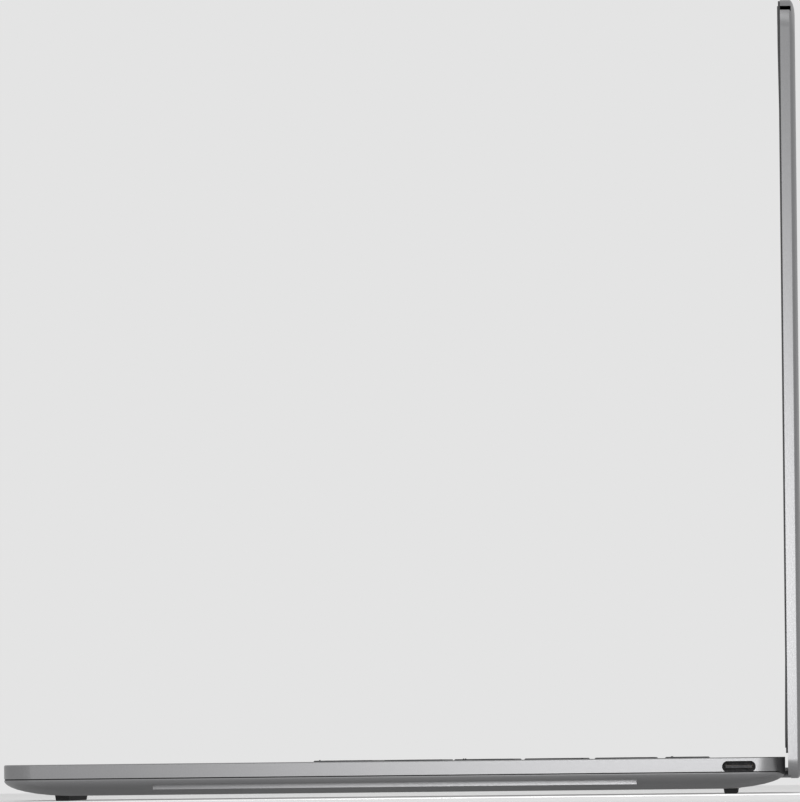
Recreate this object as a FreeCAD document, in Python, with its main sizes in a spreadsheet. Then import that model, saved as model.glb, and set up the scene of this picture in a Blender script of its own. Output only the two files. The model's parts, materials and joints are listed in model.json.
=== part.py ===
"""A slim 13-inch laptop computer, open at a right angle, as a parametric FreeCAD document.

Frame: +X to the right of the person typing, +Y from the front edge to the hinge, +Z up.
Z = 0 is the table that the two rubber feet stand on, X = 0 is the middle of the width, and Y = 0 is
halfway between the front edge and the back of the open lid. Millimetres throughout.

Every size is a cell of the sheet "Sizes". An expression in this file is written with the bare names of
those cells and of the derived places in PLACES, and bound() turns it into what FreeCAD evaluates.
"""
import FreeCAD
import Part

import math
import os
import re

import Sketcher
from FreeCAD import Placement, Rotation, Vector

SIZES = {
    # overall
    "base_width": 295.4, "base_depth": 199.4, "base_thickness": 8.0, "foot_height": 1.3,
    "corner_front": 7.1, "corner_rear": 7.1,
    # top case
    "deck_plate": 1.2, "case_wall": 1.5, "top_band": 3.6, "seam_height": 0.3, "seam_depth": 0.5,
    "edge_break": 0.25, "key_rib": 1.2,
    # bottom cover
    "edge_reach": 18.1, "edge_corner_growth": 0.4, "bottom_wall": 0.8, "bottom_rim": 1.2,
    "groove_from_front": 38.0, "groove_length": 123.5, "groove_below_deck": 5.4, "groove_height": 1.25,
    "groove_top_inset": 4.4, "groove_bottom_inset": 4.35, "groove_liner": 6.4, "groove_end": 2.0,
    "vent_slot_length": 8.0, "vent_slot_width": 1.6, "vent_pitch": 4.2, "cover_pad_height": 0.5,
    "cover_pad_radius": 3.4,
    # hinge line, and the notch in the base that the clutch cover turns in
    "hinge_from_rear": 3.1, "hinge_below_deck": 3.1, "clutch_radius": 2.8, "clutch_half_length": 109.0,
    "clutch_bore": 2.0, "clutch_bore_start": 60.0, "notch_half_width": 118.3, "notch_ahead_of_axis": 3.3,
    "arm_top": 0.3, "arm_bottom": 2.25, "lip_thickness": 0.4, "lip_top": 3.9,
    "pin_radius": 1.1, "pin_play": 0.05, "pin_in": 92.0, "pin_out": 117.0,
    "knuckle_radius": 2.4, "knuckle_start": 109.5, "knuckle_end": 117.4, "bracket_thickness": 1.0,
    "bracket_from_rear": 17.5, "bracket_inner_end": 96.0, "sleeve_radius": 1.9, "sleeve_start": 93.0,
    "sleeve_end": 108.7, "leaf_thickness": 0.9, "leaf_inner_end": 70.0, "leaf_top": 3.4, "leaf_bottom": 1.7,
    "web_top": 0.55, "web_thickness": 0.9, "trim_depth": 1.9, "trim_drop": 2.6,
    # lid
    "lid_metal_front": 3.86, "lid_thickness": 3.78, "lid_flat_side": 2.35, "lid_edge_reach": 4.2,
    "lid_corner": 7.1, "lid_corner_low": 5.0, "lid_bottom_reach": 2.39, "lid_wall": 1.6, "lid_back": 1.0, "lid_chin_front": 4.55,
    "lid_chin_side": 2.3, "lid_chin_top": 4.1, "gasket_proud": 0.48, "gasket_inset": 0.3, "gasket_width": 1.5,
    "bumper_rise": 0.22, "bumper_length": 6.0, "bumper_taper": 18.0, "glass_proud": 0.1,
    "glass_thickness": 0.7, "panel_side_margin": 2.6, "panel_bottom_margin": 2.2, "panel_top_margin": 5.2,
    "camera_width": 62.0, "camera_height": 3.0, "camera_thickness": 1.5,
    # keyboard
    "key_pitch_x": 19.0, "key_pitch_y": 17.95, "key_gap": 2.8, "function_key_depth": 10.85,
    "keys_from_front": 79.0, "key_rise": 0.3, "key_height": 1.3, "key_corner": 1.2, "key_bevel": 0.25,
    "key_clearance": 0.25, "half_key_split": 0.9, "dome_height": 1.1, "dome_radius": 2.3, "dome_top_radius": 1.3,
    "membrane_thickness": 0.2, "keyboard_plate_thickness": 0.3, "keyboard_margin": 2.0,
    "lever_thickness": 0.3, "lever_width": 0.9, "lever_length": 8.0, "lever_spread": 4.2,
    # touchpad
    "pad_width": 114.0, "pad_depth": 67.0, "pad_from_front": 5.5, "pad_thickness": 0.9, "pad_sink": 0.1,
    "pad_corner": 2.5, "pad_clearance": 0.25, "pad_travel": 0.45, "pad_bracket_thickness": 0.4,
    "pad_bracket_margin": 3.8, "pad_switch_radius": 3.0, "pad_rib_depth": 1.5,
    # feet
    "foot_width": 3.7, "foot_length": 236.0, "front_foot_from_front": 14.3, "rear_foot_from_rear": 14.0,
    "foot_taper": 0.3, "foot_seat": 0.3,
    # what the base holds
    "fit_gap": 0.1, "board_thickness": 0.8, "board_below_deck": 4.3, "board_left": 44.0, "board_right": 126.0,
    "board_from_front": 100.0, "board_depth": 78.0, "board_post_radius": 2.5,
    "cell_width": 69.0, "cell_gap": 2.5, "cell_depth": 74.0, "cell_from_front": 18.5, "cell_thickness": 3.9,
    "speaker_width": 14.0, "speaker_depth": 32.0, "speaker_from_front": 34.0, "speaker_out": 128.5,
    "speaker_height": 3.4, "fan_x": -72.0, "fan_to_fins": 0.6, "fan_size": 52.0, "fan_height": 4.1,
    "fan_wall": 0.5, "fan_inlet": 15.0, "rotor_radius": 22.0, "rotor_hub_radius": 8.5, "rotor_gap": 1.6,
    "rotor_clear": 0.25, "rotor_disc": 0.5, "blade_thickness": 0.5, "blade_length": 9.5,
    "spindle_radius": 1.2, "spindle_play": 0.05, "fin_from_rear": 22.8, "fin_depth": 11.0, "fin_pitch": 1.6,
    "fin_thickness": 0.3, "pipe_width": 6.0, "pipe_thickness": 1.0, "package_size": 26.0,
    "package_height": 1.0, "package_x": 12.0, "package_from_front": 138.0, "drive_length": 60.0,
    "drive_width": 22.0, "drive_x": 45.0, "drive_from_front": 108.0, "card_height": 1.7, "card_width": 22.0,
    "card_length": 30.0, "card_x": 50.0, "card_from_front": 140.0,
    "port_from_rear": 11.8, "port_below_deck": 2.37, "port_width": 8.6, "port_height": 2.86,
    "port_shell_wall": 0.28, "port_setback": 0.6, "port_length": 7.0, "port_tongue_width": 6.7,
    "port_tongue_height": 0.7, "port_tongue_length": 5.0, "port_play": 0.05, "port_board_length": 13.0,
    "port_board_depth": 9.5,
    # fasteners
    "screw_shaft_radius": 0.8, "screw_head_radius": 1.9, "screw_head_height": 0.6, "boss_radius": 2.4,
    "screw_drive_radius": 0.75, "screw_drive_depth": 0.35, "screw_reach": 3.0, "screw_front_x": 122.0,
    "screw_rear_x": 125.0, "screw_front": 22.0, "screw_middle": 71.0, "screw_from_rear": 13.4,
    "leaf_screw_radius": 0.7, "leaf_screw_head_radius": 1.4, "leaf_screw_head": 0.4, "leaf_screw_reach": 0.8,
}

PLACES = {
    "hinge_from_front": "base_depth - hinge_from_rear",
    "bracket_from_front": "base_depth - bracket_from_rear",
    "rear_foot_from_front": "base_depth - rear_foot_from_rear",
    "fin_from_front": "base_depth - fin_from_rear",
    "fan_from_front": "fin_from_front - fan_to_fins - fan_size / 2",
    "port_from_front": "base_depth - port_from_rear",
    "screw_rear": "base_depth - screw_from_rear",
    "front_y": "0 - (hinge_from_front + lid_metal_front + lid_thickness) / 2",
    "rear_y": "front_y + base_depth",
    "deck_z": "foot_height + base_thickness",
    "rim_z": "deck_z - top_band - seam_height",
    "axis_y": "front_y + hinge_from_front",
    "axis_z": "deck_z - hinge_below_deck",
    "edge_drop": "rim_z - foot_height",
    "floor_z": "foot_height + bottom_wall",
    "plate_under_z": "deck_z - deck_plate",
    "notch_y": "axis_y - notch_ahead_of_axis",
    "trim_y": "rear_y - trim_depth",
    "lid_front_y": "axis_y + lid_metal_front",
    "lid_back_y": "lid_front_y + lid_thickness",
    "lid_top_z": "axis_z + hinge_from_front",
    "lid_bottom_z": "axis_z - lid_bottom_reach",
    "chin_top_z": "axis_z + lid_chin_top",
    "glass_y": "lid_front_y - glass_proud",
    "key_under_z": "deck_z + key_rise - key_height",
    "membrane_z": "key_under_z - dome_height",
    "keyboard_plate_z": "membrane_z - membrane_thickness",
    "keyboard_under_z": "keyboard_plate_z - keyboard_plate_thickness",
    "pad_y": "front_y + pad_from_front",
    "pad_under_z": "deck_z - pad_sink - pad_thickness",
    "pad_bracket_z": "pad_under_z - 2 * pad_travel",
    "board_z": "deck_z - board_below_deck - board_thickness",
    "board_y": "front_y + board_from_front",
    "rest_z": "floor_z + fit_gap",
    "boss_z": "floor_z + cover_pad_height",
    "sink_z": "foot_height + screw_head_height + fit_gap",
    "chin_y": "axis_y + lid_chin_front",
    "leaf_y": "chin_y + lip_thickness + leaf_screw_head",
    "bracket_z": "axis_z - bracket_thickness / 2",
    "gasket_y": "lid_front_y - gasket_proud",
    "panel_y": "glass_y + glass_thickness",
    "lid_inner_back_y": "lid_back_y - lid_back",
    "display_bottom_z": "chin_top_z + lid_wall",
    "cell_y": "front_y + cell_from_front",
    "fin_y": "front_y + fin_from_front",
    "package_y": "front_y + package_from_front",
    "groove_z": "deck_z - groove_below_deck - groove_height",
    "groove_y": "front_y + groove_from_front",
    "fan_y": "front_y + fan_from_front",
    "port_y": "front_y + port_from_front",
    "port_z": "deck_z - port_below_deck",
    "side_x": "base_width / 2",
}

OUTER_DEGREES = (0, 2, 4, 6.5, 9, 12, 15.5, 20, 26, 34, 45, 57, 69, 80)
INNER_DEGREES = (0, 6, 14, 25, 40, 60, 80)
LAST_DEGREES = 80
FAN_TILT = 35
ALONG_X = Rotation(Vector(0, 1, 0), 90)
ALONG_Y = Rotation(Vector(1, 0, 0), -90)
UPRIGHT = Rotation()
BLADES = 24
WORD = re.compile(r"\b[a-z_][a-z_0-9]*\b")

doc = FreeCAD.newDocument("Laptop")
sheet = doc.addObject("Spreadsheet::Sheet", "Sizes")
for row, (alias, number) in enumerate(SIZES.items(), 1):
    sheet.set(f"A{row}", alias)
    sheet.set(f"B{row}", str(number))
    sheet.setAlias(f"B{row}", alias)
doc.recompute()


def bound(text):
    """The FreeCAD expression for a formula written with the bare names in SIZES and PLACES."""
    def swap(match):
        word = match.group(0)
        if word in PLACES:
            return "(" + bound(PLACES[word]) + ")"
        return "Sizes." + word if word in SIZES else word
    return WORD.sub(swap, str(text))


def bind(thing, **formulas):
    for name, text in formulas.items():
        thing.setExpression(name, bound(text))
    return thing


def place(thing, x, y, z, turn=UPRIGHT):
    thing.Placement = Placement(Vector(), turn)
    for axis, text in (("x", x), ("y", y), ("z", z)):
        thing.setExpression("Placement.Base." + axis, bound(text))
    return thing


# Primitives and booleans, each bound to the sheet.

def box(name, x, y, z, width, depth, height, turn=UPRIGHT):
    """A block whose lowest corner is at x, y, z."""
    made = bind(doc.addObject("Part::Box", name), Length=width, Width=depth, Height=height)
    return place(made, x, y, z, turn)


def middle_box(name, half_width, y, z, depth, height):
    """A block that is centred on X = 0."""
    return box(name, f"0 - ({half_width})", y, z, f"2 * ({half_width})", depth, height)


def cylinder(name, x, y, z, radius, length, turn=UPRIGHT):
    made = bind(doc.addObject("Part::Cylinder", name), Radius=radius, Height=length)
    return place(made, x, y, z, turn)


def cone(name, x, y, z, low_radius, high_radius, height):
    made = bind(doc.addObject("Part::Cone", name), Radius1=low_radius, Radius2=high_radius, Height=height)
    return place(made, x, y, z)


def frustum(name, x, y, z, width, depth, height, taper):
    """A block centred on x, y that stands on z and loses taper from each side by its top."""
    made = doc.addObject("Part::Wedge", name)
    bind(made, Xmin=f"0 - ({width}) / 2", Xmax=f"({width}) / 2", Ymin="0", Ymax=height)
    bind(made, Zmin=f"0 - ({depth}) / 2", Zmax=f"({depth}) / 2")
    bind(made, X2min=f"({taper}) - ({width}) / 2", X2max=f"({width}) / 2 - ({taper})")
    bind(made, Z2min=f"({taper}) - ({depth}) / 2", Z2max=f"({depth}) / 2 - ({taper})")
    return place(made, x, y, z, Rotation(Vector(1, 0, 0), 90))


def fuse(name, parts):
    made = doc.addObject("Part::MultiFuse", name)
    made.Shapes = parts
    return made


def group(name, parts):
    made = doc.addObject("Part::Compound", name)
    made.Links = parts
    return made


def cut(name, base, tool):
    made = doc.addObject("Part::Cut", name)
    made.Base, made.Tool = base, tool
    return made


def common(name, base, tool):
    made = doc.addObject("Part::Common", name)
    made.Base, made.Tool = base, tool
    return made


# PartDesign bodies made from rounded rectangles.

def outline(body, name, plane, offset, half_width, low, high, low_radius, high_radius):
    """A rounded rectangle, centred on X = 0, from low to high along the plane's second axis."""
    made = body.newObject("Sketcher::SketchObject", name)
    made.AttachmentSupport = [(next(p for p in body.Origin.OriginFeatures if p.Role == plane), "")]
    made.MapMode = "FlatFace"
    bind(made, **{"AttachmentOffset.Base.z": offset})
    sheet_value = 100.0
    start_radius = 5.0
    far = sheet_value - start_radius

    def line(x0, y0, x1, y1):
        return made.addGeometry(Part.LineSegment(Vector(x0, y0, 0), Vector(x1, y1, 0)))

    def arc(x, y, start):
        circle = Part.Circle(Vector(x, y, 0), Vector(0, 0, 1), start_radius)
        return made.addGeometry(Part.ArcOfCircle(circle, start, start + math.pi / 2))

    bottom = line(-far, -sheet_value, far, -sheet_value)
    right = line(sheet_value, -far, sheet_value, far)
    top = line(far, sheet_value, -far, sheet_value)
    left = line(-sheet_value, far, -sheet_value, -far)
    low_right, high_right = arc(far, -far, -math.pi / 2), arc(far, far, 0)
    high_left, low_left = arc(-far, far, math.pi / 2), arc(-far, -far, math.pi)
    rule = Sketcher.Constraint
    corners = ((bottom, low_right, right), (right, high_right, top),
               (top, high_left, left), (left, low_left, bottom))
    made.addConstraint([rule("Tangent", one, 2, bend, 1) for one, bend, _ in corners]
                       + [rule("Tangent", bend, 2, other, 1) for _, bend, other in corners]
                       + [rule("Horizontal", bottom), rule("Horizontal", top)]
                       + [rule("Vertical", right), rule("Vertical", left)]
                       + [rule("Equal", low_right, low_left), rule("Equal", high_right, high_left)])
    sizes = (("low_radius", rule("Radius", low_right, start_radius), low_radius),
             ("high_radius", rule("Radius", high_right, start_radius), high_radius),
             ("right_edge", rule("DistanceX", -1, 1, right, 1, sheet_value), half_width),
             ("left_edge", rule("DistanceX", left, 1, -1, 1, sheet_value), half_width),
             ("high_edge", rule("DistanceY", -1, 1, top, 1, sheet_value), high),
             ("low_edge", rule("DistanceY", -1, 1, bottom, 1, -sheet_value), low))
    for label, constraint, text in sizes:
        made.renameConstraint(made.addConstraint(constraint), label)
        bind(made, **{"Constraints." + label: text})
    return made


def pad(body, name, sketch, length, reversed_way=False):
    made = body.newObject("PartDesign::Pad", name)
    made.Profile = sketch
    made.Reversed = reversed_way
    return bind(made, Length=length)


def loft(body, name, sections):
    made = body.newObject("PartDesign::AdditiveLoft", name)
    made.Profile = sections[0]
    made.Sections = sections[1:]
    made.Ruled = True
    return made


def bevel_top(body, name, size):
    """A chamfer round the top face of the body's last feature."""
    base = body.Tip
    doc.recompute()
    top = base.Shape.BoundBox.ZMax
    picked = [f"Edge{i}" for i, edge in enumerate(base.Shape.Edges, 1)
              if all(abs(corner.Point.z - top) < 1e-6 for corner in edge.Vertexes)]
    made = body.newObject("PartDesign::Chamfer", name)
    made.Base = (base, picked)
    return bind(made, Size=size)


def base_outline(body, name, z, inset, growth="0"):
    """The base's plan outline at a height, drawn in from its edge."""
    inside = f"({inset})"
    return outline(body, name, "XY_Plane", z, f"side_x - {inside}", f"front_y + {inside}", f"rear_y - {inside}",
                   f"corner_front + ({growth})", f"corner_rear + ({growth})")


def base_slab(name, low, high, inset, growth="0"):
    body = doc.addObject("PartDesign::Body", name)
    pad(body, name + "_pad", base_outline(body, name + "_outline", low, inset, growth), f"({high}) - ({low})")
    return body


def base_bowl(name, steps, inset, drop):
    """The underside with its elliptical edge, as a solid from the rim down."""
    body = doc.addObject("PartDesign::Body", name)
    sections = []
    for number, degrees in enumerate(steps):
        drawn_in = f"edge_reach * (1 - cos({degrees} deg))"
        height = f"rim_z - ({drop}) * sin({degrees} deg) / sin({LAST_DEGREES} deg)"
        sections.append(base_outline(body, f"{name}_{number}", height, f"({inset}) + {drawn_in}",
                                     f"edge_corner_growth * {drawn_in} - ({inset}) / 2"))
    loft(body, name + "_loft", sections)
    return body


def slot_solid(name, x, y, z, length, width, height):
    """A bar along X with a fully round-ended section, centred on y, z."""
    reach = f"({width} - {height}) / 2"
    radius = f"({height}) / 2"
    return fuse(name, [
        box(name + "_flat", x, f"{y} - {reach}", f"{z} - {radius}", length, f"2 * {reach}", height),
        cylinder(name + "_front", x, f"{y} - {reach}", z, radius, length, ALONG_X),
        cylinder(name + "_rear", x, f"{y} + {reach}", z, radius, length, ALONG_X)])


# Where the base gives way to the hinge: the notch for the clutch cover, and the dark rear trims.

def notch(name):
    return middle_box(name, "notch_half_width", "notch_y", "0 - foot_height", "base_depth",
                      "deck_z + 2 * foot_height")


def trim_tool(name, x, length):
    """The section of the rear trim: a bar with its lower front edge rounded, along X."""
    bar_z = "deck_z - trim_drop"
    return fuse(name, [
        box(name + "_bar", x, "trim_y", bar_z, length, "trim_depth + edge_break", "trim_drop + edge_break"),
        cylinder(name + "_round", x, "rear_y", bar_z, "trim_depth", length, ALONG_X)])


def whole_trim_tool(name):
    return trim_tool(name, "0 - side_x - edge_break", "base_width + 2 * edge_break")


def side_box(name, side, near, far, y, z, depth, height):
    """A block between two distances from X = 0, on the right for side 1 and on the left for side -1."""
    x = near if side > 0 else f"0 - ({far})"
    return box(name, x, y, z, f"({far}) - ({near})", depth, height)


def side_cylinder(name, side, near, far, y, z, radius):
    x = near if side > 0 else f"0 - ({far})"
    return cylinder(name, x, y, z, radius, f"({far}) - ({near})", ALONG_X)


SIDES = ((-1, "left"), (1, "right"))
SCREW_PLACES = [(f"{side} * {x}", f"(front_y + {depth})") for side in (-1, 1)
                for x, depth in (("screw_front_x", "screw_front"), ("screw_front_x", "screw_middle"),
                                 ("screw_rear_x", "screw_rear"))]
HINGE_SCREWS = ("(bracket_inner_end + boss_radius + fit_gap)", "(knuckle_end - boss_radius - fit_gap)")
HINGE_SCREW_Y = "(front_y + bracket_from_front + boss_radius + fit_gap)"
LEAF_SCREWS = (("(leaf_inner_end + 2 * leaf_screw_head_radius)", "(axis_z + leaf_top / 2)"),
               ("((leaf_inner_end + sleeve_start) / 2)", "(axis_z + leaf_top / 2)"),
               ("(sleeve_end - 2 * leaf_screw_head_radius)", "(axis_z + leaf_top / 2)"))

# Rows from the front, as pairs of node and key widths in key pitches.
KEY_ROWS = [
    [("keys_modifiers_left", (1, 1, 1, 1)), ("key_space", (6,)), ("keys_modifiers_right", (1, 1)),
     ("key_arrow_left", (1,)), ("arrow_pair", (1,)), ("key_arrow_right", (1,))],
    [("key_shift_left", (2.25,)), ("keys_lower_letters", (1,) * 10), ("key_shift_right", (2.75,))],
    [("key_caps_lock", (1.75,)), ("keys_home_letters", (1,) * 11), ("key_enter", (2.25,))],
    [("key_tab", (1.5,)), ("keys_upper_letters", (1,) * 12), ("key_backslash", (1.5,))],
    [("keys_numbers", (1,) * 13), ("key_backspace", (2,))],
    [("key_escape", (1,)), ("keys_function", (1,) * 12), ("key_delete", (1,)), ("power_button", (1,))],
]
ROW_UNITS = 15
KEYBOARD_HALF = f"({ROW_UNITS} * key_pitch_x / 2 - key_gap / 2 + keyboard_margin)"
KEYBOARD_Y = "(front_y + keys_from_front - keyboard_margin)"
KEYBOARD_DEPTH = f"({len(KEY_ROWS) - 1} * key_pitch_y + function_key_depth + 2 * keyboard_margin)"


def keys_laid_out():
    """Each key as node, its centre x and y, its width and its depth, all as formulas."""
    found = []
    for row, nodes in enumerate(KEY_ROWS):
        start = 0
        depth = "function_key_depth" if row == len(KEY_ROWS) - 1 else "(key_pitch_y - key_gap)"
        y = f"(front_y + keys_from_front + {row} * key_pitch_y + {depth} / 2)"
        for node, widths in nodes:
            for units in widths:
                x = f"({start + units / 2 - ROW_UNITS / 2} * key_pitch_x)"
                width = f"({units} * key_pitch_x - key_gap)"
                start += units
                if node == "arrow_pair":
                    half = f"(({depth} - half_key_split) / 2)"
                    shift = f"(({half} + half_key_split) / 2)"
                    found.append(("key_arrow_down", x, f"({y} - {shift})", width, half))
                    found.append(("key_arrow_up", x, f"({y} + {shift})", width, half))
                else:
                    found.append((node, x, y, width, depth))
    return found


KEYS = keys_laid_out()
parts = {}


def key_blank(name, width, depth, corner, z, height):
    """One rounded block about the origin, for copies to be linked to."""
    return rounded_plate(name, f"({width}) / 2", f"0 - ({depth}) / 2", f"({depth}) / 2", z, height, corner)


def linked(name, blank, x, y):
    made = doc.addObject("App::Link", name)
    made.LinkedObject = blank
    return place(made, x, y, "0")


def key_copies(tag, z, height, extra, bevel):
    """A copy for each key of the block that has its width and depth, by key number."""
    blanks, copies = {}, []
    for number, (_, x, y, width, depth) in enumerate(KEYS):
        if (width, depth) not in blanks:
            blank = key_blank(f"{tag}_blank_{len(blanks)}", f"{width} + {extra}", f"{depth} + {extra}",
                              f"key_corner + ({extra}) / 2", z, height)
            if bevel:
                bevel_top(blank, f"{tag}_bevel_{len(blanks)}", "key_bevel")
            blanks[width, depth] = blank
        copies.append(linked(f"{tag}_{number}", blanks[width, depth], x, y))
    return copies


def make_keys():
    """Caps on rubber domes, guided by pairs of crossed levers."""
    caps, domes, levers = {}, [], []
    lean = 4.0
    for copy, (node, *_) in zip(key_copies("cap", "key_under_z", "key_height", "0", True), KEYS):
        caps.setdefault(node, []).append(copy)
    for number, (_, x, y, _, depth) in enumerate(KEYS):
        domes.append(cone(f"dome_{number}", x, y, "membrane_z", f"min(dome_radius; {depth} / 3)",
                          f"min(dome_top_radius; {depth} / 5)", "dome_height"))
        run = f"min(lever_length; {depth} - 1.5)"
        for side in (-1, 1):
            z = (f"membrane_z + dome_height / 2 - lever_thickness / 2"
                 f" - {side} * {run} * {math.sin(math.radians(lean)) / 2:.4f}")
            levers.append(box(f"lever_{number}_{side + 1}", f"{x} + {side} * lever_spread - lever_width / 2",
                              f"{y} - {run} / 2", z, "lever_width", run, "lever_thickness",
                              Rotation(Vector(1, 0, 0), side * lean)))
    for node, members in caps.items():
        parts[node] = group(node, members)
    parts["key_domes"] = group("key_domes", domes)
    parts["key_levers"] = group("key_levers", levers)
    membrane = middle_box("membrane", KEYBOARD_HALF, KEYBOARD_Y, "keyboard_plate_z", KEYBOARD_DEPTH,
                          "membrane_thickness")
    plate = middle_box("plate", KEYBOARD_HALF, KEYBOARD_Y, "keyboard_under_z", KEYBOARD_DEPTH,
                       "keyboard_plate_thickness")
    across = ("0 - board_left + 2 * board_post_radius", "board_right - 2 * board_post_radius")
    along = ("board_y + 2 * board_post_radius", "board_y + board_depth - 2 * board_post_radius")
    posts = [cylinder(f"board_post_{number}", x, y, "board_z + board_thickness", "board_post_radius",
                      "keyboard_under_z - board_z - board_thickness")
             for number, (x, y) in enumerate((x, y) for x in across for y in along)]
    parts["keyboard_plate"] = group("keyboard_plate", [fuse("plate_with_posts", [plate] + posts), membrane])


def key_wells():
    return key_copies("well", "plate_under_z - deck_plate", "3 * deck_plate", "2 * key_clearance", False)


def key_ribs():
    """Ribs between the rows, from the deck down to the membrane, that carry the keyboard."""
    return [middle_box(f"rib_{number}", KEYBOARD_HALF,
                       f"front_y + keys_from_front + {number} * key_pitch_y - (key_gap + key_rib) / 2",
                       "membrane_z", "key_rib", "plate_under_z - membrane_z")
            for number in range(1, len(KEY_ROWS))]


def port_tools(side, tag):
    """The mouth in the side wall, and the wider pocket behind it for the port's shell."""
    shell = "2 * (port_shell_wall + port_play)"
    reach = "port_setback + port_length + fit_gap"
    mouth_x = "side_x - 2 * case_wall" if side > 0 else "0 - side_x - case_wall"
    pocket_x = f"side_x - ({reach})" if side > 0 else "0 - side_x + port_setback"
    return [slot_solid(f"port_mouth_{tag}", mouth_x, "port_y", "port_z", "3 * case_wall", "port_width",
                       "port_height"),
            slot_solid(f"port_pocket_{tag}", pocket_x, "port_y", "port_z", f"{reach} - port_setback",
                       f"(port_width + {shell})", f"(port_height + {shell})")]


def make_ports():
    for side, tag in SIDES:
        x = "side_x - port_setback - port_length" if side > 0 else "0 - side_x + port_setback"
        hollow_x = f"{x} + port_shell_wall" if side > 0 else f"{x} - port_shell_wall"
        shell = slot_solid(f"port_shell_{tag}", x, "port_y", "port_z", "port_length",
                           "(port_width + 2 * port_shell_wall)", "(port_height + 2 * port_shell_wall)")
        hollow = slot_solid(f"port_hollow_{tag}", hollow_x, "port_y", "port_z", "port_length",
                            "port_width", "port_height")
        back = "side_x - port_setback - port_length"
        tongue = side_box(f"port_tongue_{tag}", side, back, f"{back} + port_tongue_length",
                          "port_y - port_tongue_width / 2", "port_z - port_tongue_height / 2",
                          "port_tongue_width", "port_tongue_height")
        board = side_box(f"port_board_{tag}", side, f"{back} + port_length / 2 - port_board_length",
                         f"{back} + port_length / 2", "port_y - port_board_depth / 2",
                         "port_z - port_height / 2 - port_shell_wall - board_thickness",
                         "port_board_depth", "board_thickness")
        parts[f"usb_port_{tag}"] = fuse(f"usb_port_{tag}_whole", [
            cut(f"port_tube_{tag}", shell, hollow), tongue, board])


def bracket_slots():
    return [side_box(f"bracket_slot_{tag}", side, "knuckle_start - fit_gap", "knuckle_end + fit_gap",
                     "notch_y - 2 * case_wall", "bracket_z - fit_gap", "3 * case_wall",
                     "bracket_thickness + 2 * fit_gap") for side, tag in SIDES]


def rounded_plate(name, half_width, low, high, z, thickness, corner):
    body = doc.addObject("PartDesign::Body", name)
    sketch = outline(body, name + "_outline", "XY_Plane", z, half_width, low, high, corner, corner)
    pad(body, name + "_pad", sketch, thickness)
    return body


def hollow_blocks(name, z, height):
    """What stays solid inside the base: the notch's wall and the strip ahead of the rear trim."""
    return [middle_box(f"{name}_notch_block", "notch_half_width + case_wall", "notch_y - case_wall", z,
                       "base_depth", height),
            middle_box(f"{name}_rear_block", "side_x", "trim_y - case_wall", z, "base_depth", height)]


def case_bosses():
    """Posts under the deck: long ones for the bottom cover's screws, short ones for the hinge brackets."""
    posts = [(x, y, "boss_z") for x, y in SCREW_PLACES]
    posts += [(f"{side} * {x}", HINGE_SCREW_Y, "(bracket_z + bracket_thickness)")
              for side, _ in SIDES for x in HINGE_SCREWS]
    solids = [cylinder(f"boss_{number}", x, y, z, "boss_radius", f"plate_under_z - {z}")
              for number, (x, y, z) in enumerate(posts)]
    holes = [cylinder(f"boss_hole_{number}", x, y, z, "screw_shaft_radius + port_play",
                      f"min(screw_reach; plate_under_z - {z}) + fit_gap")
             for number, (x, y, z) in enumerate(posts)]
    return solids, holes


def make_top_case():
    blank = doc.addObject("PartDesign::Body", "top_case_blank")
    pad(blank, "seam_step", base_outline(blank, "seam_outline", "rim_z", "seam_depth", "0 - seam_depth"),
        "seam_height")
    pad(blank, "top_band_pad", base_outline(blank, "top_band_outline", "deck_z - top_band", "0"), "top_band")
    bevel_top(blank, "deck_edge_break", "edge_break")
    cavity = base_slab("case_cavity", "rim_z", "plate_under_z", "case_wall", "0 - case_wall")
    hollow = cut("case_hollow", cavity,
                 fuse("case_blocks", hollow_blocks("case", "rim_z", "top_band + seam_height")))
    pad_hole = rounded_plate("pad_hole", "pad_width / 2 + pad_clearance", "pad_y - pad_clearance",
                             "pad_y + pad_depth + pad_clearance", "plate_under_z - deck_plate",
                             "3 * deck_plate", "pad_corner + pad_clearance")
    posts, holes = case_bosses()
    ports = [tool for side, tag in SIDES for tool in port_tools(side, tag)]
    openings = fuse("case_openings", key_wells() + ports + bracket_slots()
                    + [pad_hole, notch("case_notch"), whole_trim_tool("case_trim")])
    shell = cut("case_shell", cut("case_open", blank, hollow), openings)
    parts["top_case"] = cut("top_case_whole", fuse("case_with_posts", [shell] + posts + key_ribs()),
                            fuse("case_holes", holes))


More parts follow.
